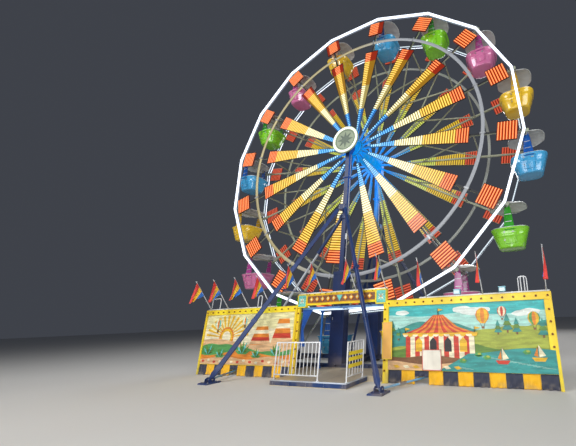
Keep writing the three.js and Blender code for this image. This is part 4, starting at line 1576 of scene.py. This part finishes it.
def makeBorder(name):
    form = Form()
    x0, x1 = front[name]
    y, top, wide, half = front["y"], front["top"], front["border"], border["post"] / 2
    face = y - border["proud"]
    addStrip(form, (x0, x1), (top - wide, top))
    start, end = x0 + border["margin"], x1 - border["margin"]
    for x in spread(start, end, round((end - start) / border["bulbPitch"])):
        addBulb(form, x, face, top - wide / 2)
    if name == "right":
        addStrip(form, (x1 - wide, x1), (border["sideFoot"], top - wide))
        for z in border["sideBulbs"]:
            addBulb(form, x1 - wide / 2, face, z)
    else:
        addStrip(form, (x0, x0 + border["narrow"]), (front["skirt"], top - wide))
    for x in (x0 + half, x1 - half):
        form.box(about(x, half), (y - 0.03, y + 0.001), (0.004, top - wide))
    foot = (front["skirt"], front["skirt"] + 0.014)
    form.box((x0 + border["post"], x1 - border["post"]), (y - 0.022, y + 0.001), foot)
    onBase(f"{name}_border", form, ["yellow", "bulb", "bulbCup"], (), 40, 0.002)


def addHoop(form, x0, x1, y, top):
    low, bend = backs["hoopFoot"], min(0.06, (x1 - x0) / 2.2)
    left = [(x0, y, low), (x0, y, top - bend), (x0 + bend * 0.3, y, top - bend * 0.3), (x0 + bend, y, top)]
    right = [(x0 + x1 - x, y, z) for x, _, z in reversed(left)]
    form.path(left + right, circle(backs["hoopBar"], 10), 1, roof=(0, 1, 0))


def makePanelBacks():
    # frames and hand hoops behind the panels
    form = Form()
    back = front["y"] + 0.05
    for x0, x1 in (front["left"], front["right"]):
        for z in backs["rails"]:
            form.box((x0 + 0.03, x1 - 0.03), (back, back + 0.03), about(z, 0.02))
        for x in spread(x0 + 0.06, x1 - 0.06, backs["gaps"]):
            form.box(about(x, 0.018), (back, back + 0.028), backs["posts"])
    for ends, top in backs["hoops"]:
        addHoop(form, *ends, back + 0.04, top)
    onBase("panel_back_frames", form, ["navy", "white"], (), 35, 0.002)


def makeLampBoxes():
    # boxes on the panels' top edges, each with a lid and a lens
    form = Form()
    low, high = lampBox["z"]
    y0, y1 = front["y"] - 0.02, front["y"] + 0.10
    for x0, x1 in lampBox["x"]:
        form.box((x0, x1), (y0, y1), (low, high))
        form.box((x0 - 0.008, x1 + 0.008), (y0 - 0.012, y1 + 0.008), (high - 0.013, high + 0.007))
        form.box((x0 + 0.014, x1 - 0.014), (y0 - 0.006, y0), (low + 0.015, high - 0.025), 1)
        for x in (x0 + 0.03, x1 - 0.03):
            form.box(about(x, 0.008), (y0 + 0.028, y0 + 0.05), (front["top"] - 0.05, low + 0.005), 2)
    onBase("panel_lamp_boxes", form, ["boxBlue", "lens", "bolt"], bevel=0.004)


def makeBoards():
    # two plain boards with rims and screws
    form = Form()
    screw, stay = notice["screwIn"], notice["stayIn"]
    for x, z, tint, proud in notice["boards"]:
        face = front["y"] - notice["behind"] - proud
        form.box(x, (face, face + notice["thick"]), z, tint)
        addRim(form, x, (face - 0.006, face), z, notice["lip"], 2 + tint)
        holes = x[0] + screw, x[1] - screw
        form.bolts(holes, (face,), (z[0] + screw, z[1] - screw), (0, -1, 0), 0.008, 4)
        for hole, level in product(holes, (z[0] + stay, z[1] - stay)):
            form.box(about(hole, 0.01), (face + 0.012, front["y"] + 0.001), about(level, 0.02), 4)
    finishes = ["boardOrange", "boardWhite", "yellow", "boardRed", "bolt"]
    onBase("notice_boards", form, finishes, bevel=0.0015)


coats["bulb"] = fibreglass("dark_bulb_glass", (0.16, 0.035, 0.012))
coats["bulbCup"] = enamel("bulb_cup_enamel", (0.42, 0.18, 0.02), 0.35)
coats["boxBlue"] = enamel("lamp_box_enamel", (0.25, 0.55, 0.66), 0.35)
coats["lens"] = fibreglass("lamp_box_lens", (0.55, 0.72, 0.75))
coats["boardOrange"] = enamel("orange_board_paint", (0.86, 0.46, 0.11), 0.45)
coats["boardWhite"] = enamel("white_board_paint", (0.76, 0.72, 0.62), 0.45)
coats["boardRed"] = enamel("red_board_edge", (0.55, 0.05, 0.035), 0.4)
makeBorder("left")
makeBorder("right")
makePanelBacks()
makeLampBoxes()
makeBoards()
dress("yellow", "left_panel", "right_panel", "entrance_portal")


# Portal: a head board with a row of lozenges between two corner blocks, and posts with bulbs
lozenge = (
    (0, 0.082, 0.088, 0.030, "red"),
    (0.004, 0.066, 0.074, 0.040, "gold"),
    (0.006, 0.03, 0.036, 0.046, "cream"),
)


def addHeadBoard(form):
    y, corner = front["y"], portal["corner"]
    left, right = portal["left"] + corner, portal["right"] - corner
    low, high = portal["headLow"], portal["headHigh"]
    form.box((left, right), (y - 0.012, y), (low + 0.045, high - 0.045), paint=ink["gold"])
    inner = (low + 0.075, high - 0.072)
    form.box((left + 0.03, right - 0.03), (y - 0.018, y), inner, paint=ink["earth"])
    middle, z = (left + right) / 2, sum(inner) / 2
    shield = [(middle - 0.10, z + 0.085), (middle + 0.10, z + 0.085), (middle, z - 0.095)]
    form.plate(shield, y - 0.034, y, paint=ink["turquoise"])
    for k in (*range(-5, 0), *range(1, 6)):
        for shift, wide, tall, proud, tone in lozenge:
            x, level = middle + k * 0.205 + shift, z + shift
            outline = [(x - wide, level), (x, level - tall), (x + wide, level), (x, level + tall)]
            form.plate(outline, y - proud, y - proud + 0.02, paint=ink[tone])


def addFlowerBlock(form, x0):
    y, corner, low, high = front["y"], portal["corner"], portal["headLow"] - 0.06, portal["headHigh"]
    x, z, edge = x0 + corner / 2, (low + high) / 2, 0.035
    ground = about(x, corner / 2 - edge)
    form.box(ground, (y - 0.026, y), (low + edge, high - edge), paint=ink["turquoise"])
    for k in range(8):
        petal = []
        for reach, turn in ((0.02, 0), (0.07, 0.3), (0.115, 0), (0.07, -0.3)):
            a = math.pi * k / 4 + turn
            petal.append((x + reach * math.cos(a), z + reach * math.sin(a)))
        form.plate(petal, y - 0.032, y, paint=ink["cream" if k % 2 else "mist"])
    form.plate([(x + u, z + v) for u, v in circle(0.022, 16)], y - 0.037, y, paint=ink["orange"])


def makePortalBoard():
    form = Form()
    addHeadBoard(form)
    for x0 in (portal["left"], portal["right"] - portal["corner"]):
        addFlowerBlock(form, x0)
    onBase("portal_board", form, ["boardPaint"], bevel=0.0015)


def makePortalTrim():
    form = Form()
    y, left, right, corner = front["y"], portal["left"], portal["right"], portal["corner"]
    low, high = portal["headLow"], portal["headHigh"]
    for z in (low + 0.012, high - 0.03):
        form.box((left + corner, right - corner), (y - 0.024, y + 0.001), (z, z + 0.018))
    for x0 in (left, right - corner):
        addRim(form, (x0, x0 + corner), (y - 0.036, y - 0.014), (low - 0.06, high), 0.022)
    for x in (left + 0.05, right - 0.05):
        for edge in (-0.046, 0.034):
            form.box((x + edge, x + edge + 0.012), (y - 0.012, y + 0.001), (0.01, low - 0.06))
        for k in range(7):
            addBulb(form, x, y, 1.86 - 0.26 * k)
        form.box(about(x, 0.07), (y - 0.03, y + 0.09), (0, 0.02))
    for x in spread(left + corner + 0.1, right - corner - 0.1, 11):
        addBulb(form, x, y - 0.024, high - 0.021, bulb["small"])
    onBase("portal_trim", form, ["yellow", "bulb", "bulbCup"], (), 40, 0.002)


makePortalBoard()
makePortalTrim()
print("entrance front dressed")


# Canopy behind the portal: ribbed roof, frame, posts and lamp tubes under it
canopy = {
    "x": (-0.49, 2.42), "y": (-2.3397, -1.42), "z": (1.96, 2.04), "foot": 0.1403, "posts": (-0.45, 2.25),
    "postRadius": 0.034, "waves": 72, "wave": 0.008, "sheet": 0.004, "bar": 0.03, "lamp": 0.019,
    "lampEnds": ((-0.41, 0.9), (1.03, 2.34)),
}


def addCanopyPost(form, x, y, top):
    foot, r = canopy["foot"], canopy["postRadius"]
    at = Matrix.Translation((x, y, 0))
    form.tube([(x, y, foot), (x, y, top + 0.01)], r, 20, 3)
    form.lathe([(0.075, foot), (0.075, 0.152), (0.05, 0.156), (0.05, 0.19), (r, 0.2)], 24, 3, at)
    form.lathe([(r, top - 0.09), (0.055, top - 0.07), (0.06, top)], 20, 3, at)


def makeCanopy():
    form = Form()
    (x0, x1), (y0, y1), (z0, z1), bar = canopy["x"], canopy["y"], canopy["z"], canopy["bar"]
    roof = z1 - 0.012
    crest = []
    for k, x in enumerate(spread(x0, x1, canopy["waves"])):
        crest.append((x, roof + (canopy["wave"] if k % 4 in (1, 2) else -canopy["wave"])))
    crest += [(x, z - canopy["sheet"]) for x, z in reversed(crest)]
    form.plate(crest, y0, y1)
    for y, tint in ((y0, 0), (y1 - bar, 4)):
        form.box((x0, x1), (y, y + bar), (z0, z1 - 0.024), tint)
    for x in (x0, x1 - bar, (x0 + x1 - bar) / 2):
        form.box((x, x + bar), (y0, y1), (z0, z1 - 0.024))
    for y in spread(y0, y1, 4)[1:-1]:
        for ends in canopy["lampEnds"]:
            form.tube([(x, y, z0 + 0.004) for x in ends], canopy["lamp"], 12, 1)
            for x in ends:
                form.box(about(x, 0.02), about(y, 0.025), (z0 - 0.018, z1 - 0.03), 2)
    for x in canopy["posts"]:
        addCanopyPost(form, x, y1 - 0.035, z0)
    finishes = ["canopyBlue", "tubeLight", "galvanised", "brightBlue", "cream"]
    onBase("canopy_dressed", form, finishes, ["entrance_canopy"])


coats["tubeLight"] = lampLine("canopy_tube_light", 1.5, 0.6, (0.62, 0.78, 1.0))
coats["canopyBlue"] = enamel("canopy_blue_enamel", (0.10, 0.24, 0.50), 0.35, streaks=0.1)
makeCanopy()


# Deck edges and the fences that stand on it
deck = {
    "left": -0.4997, "right": 1.9, "front": -3.2, "rearFront": -2.29, "rear": (-1.15, 2.3), "back": -1.2553,
    "top": 0.14, "lip": 0.006, "edge": (0.02, 0.142), "nosing": (0.118, 0.145), "seams": (0.3, 1.1),
}
fence = {
    "height": 0.95, "low": 0.11, "rail": 0.018, "bar": 0.009, "pitch": 0.12, "plate": 0.045, "stand": 0.0004,
    "inset": 0.045, "frontEnd": 1.02, "sideEnd": -2.43, "sidePlates": (0.36, 0.52, 0.66),
}


def makeDeckTrim():
    form = Form()
    left, right, y0, y1, top = (deck[key] for key in ("left", "right", "front", "rearFront", "top"))
    lip = deck["lip"]
    form.box((left, right), (y0 - lip, y0), deck["edge"])
    for x in (left - lip, right):
        form.box((x, x + lip), (y0 - lip, y1), deck["edge"])
    form.box((left, right), (y0 - lip - 0.002, y0 + 0.02), deck["nosing"], 1)
    form.box((right - 0.02, right + lip + 0.002), (y0, y1), deck["nosing"], 1)
    face = y0 - lip - 0.004
    for x in spread(left + 0.1, right - 0.1, 4):
        form.box(about(x, 0.03), (face, y0 - lip), (0.02, 0.11))
        form.bolts((x,), (face,), (0.045, 0.09), (0, -1, 0), 0.008, 2)
    for x in deck["seams"]:
        form.box(about(x, 0.003), (y0, y1), (top - 0.001, top + 0.0015), 2)
    # kick rail along the wheel
    form.box(deck["rear"], (deck["back"] - 0.02, deck["back"]), (0.02, top + 0.012))
    onBase("deck_trim", form, ["navy", "whiteEdge", "bolt"], (), 35, 0.0015)


def makeFence(side, length, at, plates):
    form = Form()
    high, low, r, stand = (fence[key] for key in ("height", "low", "rail", "stand"))
    for x in (r, length - r):
        post = at @ Matrix.Translation((x, 0, 0))
        form.lathe([(r, stand), (r, high - r), (r * 0.7, high - r * 0.3), (r * 0.2, high)], 16, 0, post)
        form.lathe([(0.045, stand), (0.045, 0.01), (r, 0.014)], 20, 0, post)
    for z in (high - r, low + r):
        form.tube([at @ Vector((x, 0, z)) for x in (r, length - r)], r * 0.9, 14)
    for x in spread(0, length, round(length / fence["pitch"]))[1:-1]:
        form.tube([at @ Vector((x, 0, z)) for z in (low + r, high - r)], fence["bar"], 10)
    for z in plates:
        form.box((0.06, length - 0.06), (-0.014, -0.009), about(z, fence["plate"]), 1, at)
    onBase(f"{side}_fence_bars", form, ["white", "yellow"], [f"{side}_fence"], 35)


coats["whiteEdge"] = enamel("deck_edge_enamel", (0.50, 0.56, 0.64), 0.4)
dress("deck", "boarding_deck")
makeDeckTrim()
corner = Vector((deck["left"] + fence["inset"], deck["front"] + fence["inset"], deck["top"]))
makeFence("front", fence["frontEnd"] - corner.x, Matrix.Translation(corner), ())
corner.x = deck["right"] - fence["inset"]
run = Matrix.Translation(corner) @ Matrix.Rotation(math.radians(90), 4, "Z")
makeFence("side", fence["sideEnd"] - corner.y, run, fence["sidePlates"])
print("canopy, deck and fences made")


# Cloth
coats["skirtCloth"] = weave("skirt_cloth", 0.15)
coats["flagCloth"] = weave("pennant_cloth", 0.3)
coats["curtainCloth"] = weave("blue_curtain_cloth", 0.3)
skirt = {
    "left": (-4.63, -0.672), "right": (2.602, 6.698), "count": 11, "gap": 0.002, "low": 0.012,
    "slit": {"left": -3.115, "right": 3.385}, "slitTop": 0.19,
    "colours": ((0.030, 0.036, 0.070), (0.94, 0.50, 0.004)),
}
pennant = {
    "hoist": 0.46, "below": 0.02, "lean": 0.68, "rail": 0.02, "clampPitch": 0.9, "pole": 0.0115,
    "trail": (0.03, 0.07), "drop": (0.70, 0.76), "fly": (0.38, 0.5),
    "stripes": ((0.34, (0.70, 0.03, 0.02)), (0.67, (1.0, 0.60, 0.02)), (1.01, (0.03, 0.22, 0.80))),
    "rows": {
        "left": (-4.68, -1.5, front["top"], 0.95, (-4.56, -3.7, -2.72, -1.76)),
        "portal": (portal["left"], portal["right"], portal["headHigh"], 0.87, (-0.58, 0.28, 1.5, 2.48)),
        "right": (3.5, 6.75, front["top"], 0.95, (3.7, 5.2, 6.68)),
    },
}
curtain = {
    "x": -0.475, "top": 2.0, "drop": 1.12, "folds": 7, "colour": (0.015, 0.12, 0.48),
    "head": 0.40, "waist": 0.07, "hem": 0.17, "tiedAt": 0.55,
}


def longest(runs):
    return max(sum((b - a).length for a, b in zip(run, run[1:])) for run in runs)


def hang(name, across, down, place, finish, tone, thick=0.0015, replaced=()):
    # a thin two-sided sheet: place(u, t) gives its points, tone(u) its colour
    grid = [[Vector(place(c / across, r / down)) for c in range(across + 1)] for r in range(down + 1)]
    form = Form()
    form.put([p for row in grid for p in row], [])
    for r, c in product(range(down), range(across)):
        a = r * (across + 1) + c
        form.faces.append([a, a + 1, a + across + 2, a + across + 1])
        form.paints.append(tone((c + 0.5) / across))
    form.tints = [0] * len(form.faces)
    made = meshOf(name, form, [finish], 60)
    sheet = piece(name, made, "base", replaced)
    skin = sheet.modifiers.new("thickness", "SOLIDIFY")
    skin.thickness = thick
    skin.offset = 0.0
    flat = (round(longest(grid) + 0.001, 3), round(longest(zip(*grid)) + 0.001, 3))


def hangSkirtCloth(name, k, start, end, high):
    y, top = front["y"] + 0.014, front["skirt"] - 0.004
    phase, tilt = rng.uniform(0, 6), rng.uniform(-0.05, 0.05)

    def place(u, t):
        fold = 0.014 * math.sin(2 * math.pi * (u * 2.3 + tilt * 6 * t) + phase) * (0.15 + 0.85 * t)
        sag = 0.007 * math.sin(math.pi * u) * math.sin(math.pi * (0.2 + 0.8 * t))
        crease = 0.008 * math.sin(11 * (u + 0.8 * t) + phase * 2) * t
        return start + (end - start) * u, y - 0.011 - fold - sag - crease, top + (high - top) * t

    replaced = () if k else [f"{name}_skirt"]
    hang(
        f"{name}_skirt_cloth_{k + 1:02d}", 24, 14, place, "skirtCloth", lambda u: skirt["colours"][k % 2],
        replaced=replaced,
    )


def makeSkirt(name):
    # the cloth over the leg's ground bar is cut short
    edges, slit = spread(*skirt[name], skirt["count"]), skirt["slit"][name]
    for k, (a, b) in enumerate(zip(edges, edges[1:])):
        start, end = a + skirt["gap"], b - skirt["gap"]
        short = start < slit < end or slit < start < slit + 0.15
        hangSkirtCloth(name, k, start, end, skirt["slitTop"] if short else skirt["low"])


def hangPennant(name, k, root, tip):
    phase, drift = rng.uniform(0, 6), rng.uniform(-0.05, 0.05)
    below, hoist = pennant["below"], pennant["hoist"]
    low = tip - Vector((0, rng.uniform(*pennant["trail"]), rng.uniform(*pennant["drop"])))
    fly = low.lerp(tip.lerp(root, below + hoist), rng.uniform(*pennant["fly"]))

    def place(u, t):
        point = tip.lerp(root, below + u * hoist).lerp(low.lerp(fly, u ** 1.5), t)
        wave = 0.05 * t * math.sin(2 * math.pi * (2.1 * u + 0.2 * t) + phase)
        point.x += 0.012 + drift * t * t + wave
        return point

    def tone(u):
        return next(colour for limit, colour in pennant["stripes"] if u <= limit)

    hang(
        f"{name}_pennant_cloth_{k + 1}", 24, 18, place, "flagCloth", tone,
        0.001,
    )


def makePennants(name, x0, x1, top, rise, poleX):
    # a rail with clamps, and leaning poles with a ferrule and a knob
    form = Form()
    y, z, half = front["y"] + 0.025, top + 0.0003, pennant["rail"]
    level = z + half
    form.tube([(x0, y, level), (x1, y, level)], half, 14)
    for x in spread(x0 + 0.05, x1 - 0.05, round((x1 - x0) / pennant["clampPitch"])):
        form.box(about(x, 0.02), about(y, 0.022), (z, z + 0.044), 1)
    for k, x in enumerate(poleX):
        root, tip = Vector((x, y, level)), Vector((x, y - pennant["lean"] * rise, z + rise))
        form.tube([root, tip], pennant["pole"], 12)
        at, length = lyingAlong(root, tip)
        form.lathe([(0.02, 0.0), (0.02, 0.14), (0.0125, 0.15)], 14, 1, at)
        knob = [(0.012, 0), (0.02, 0.01), (0.018, 0.028), (0.004, 0.036)]
        form.lathe([(r, length + beyond) for r, beyond in knob], 14, 1, at)
        hangPennant(name, k, root, tip)
    onBase(f"{name}_pennant_poles", form, ["white", "galvanised"], [f"{name}_pennants"], 35)


def makeCurtain():
    # blue curtain gathered at the head and tied back to the portal's left post
    head, waist, hem, tied = (curtain[key] for key in ("head", "waist", "hem", "tiedAt"))

    def place(u, t):
        if t < tied:
            wide = head - (head - waist) * (t / tied) ** 0.8
        else:
            wide = waist + (hem - waist) * (t - tied) / (1 - tied)
        fold = 0.022 * (1 - 0.3 * t) * math.sin(2 * math.pi * curtain["folds"] * u + 1.4 * t)
        z = curtain["top"] - curtain["drop"] * t - 0.05 * u * (1 - t)
        return curtain["x"] + wide * u, front["y"] + 0.1 + fold, z

    hang(
        "portal_curtain", 48, 32, place, "curtainCloth", lambda u: curtain["colour"],
    )


makeSkirt("left")
makeSkirt("right")
for name, row in pennant["rows"].items():
    makePennants(name, *row)
makeCurtain()
print("cloth hung")
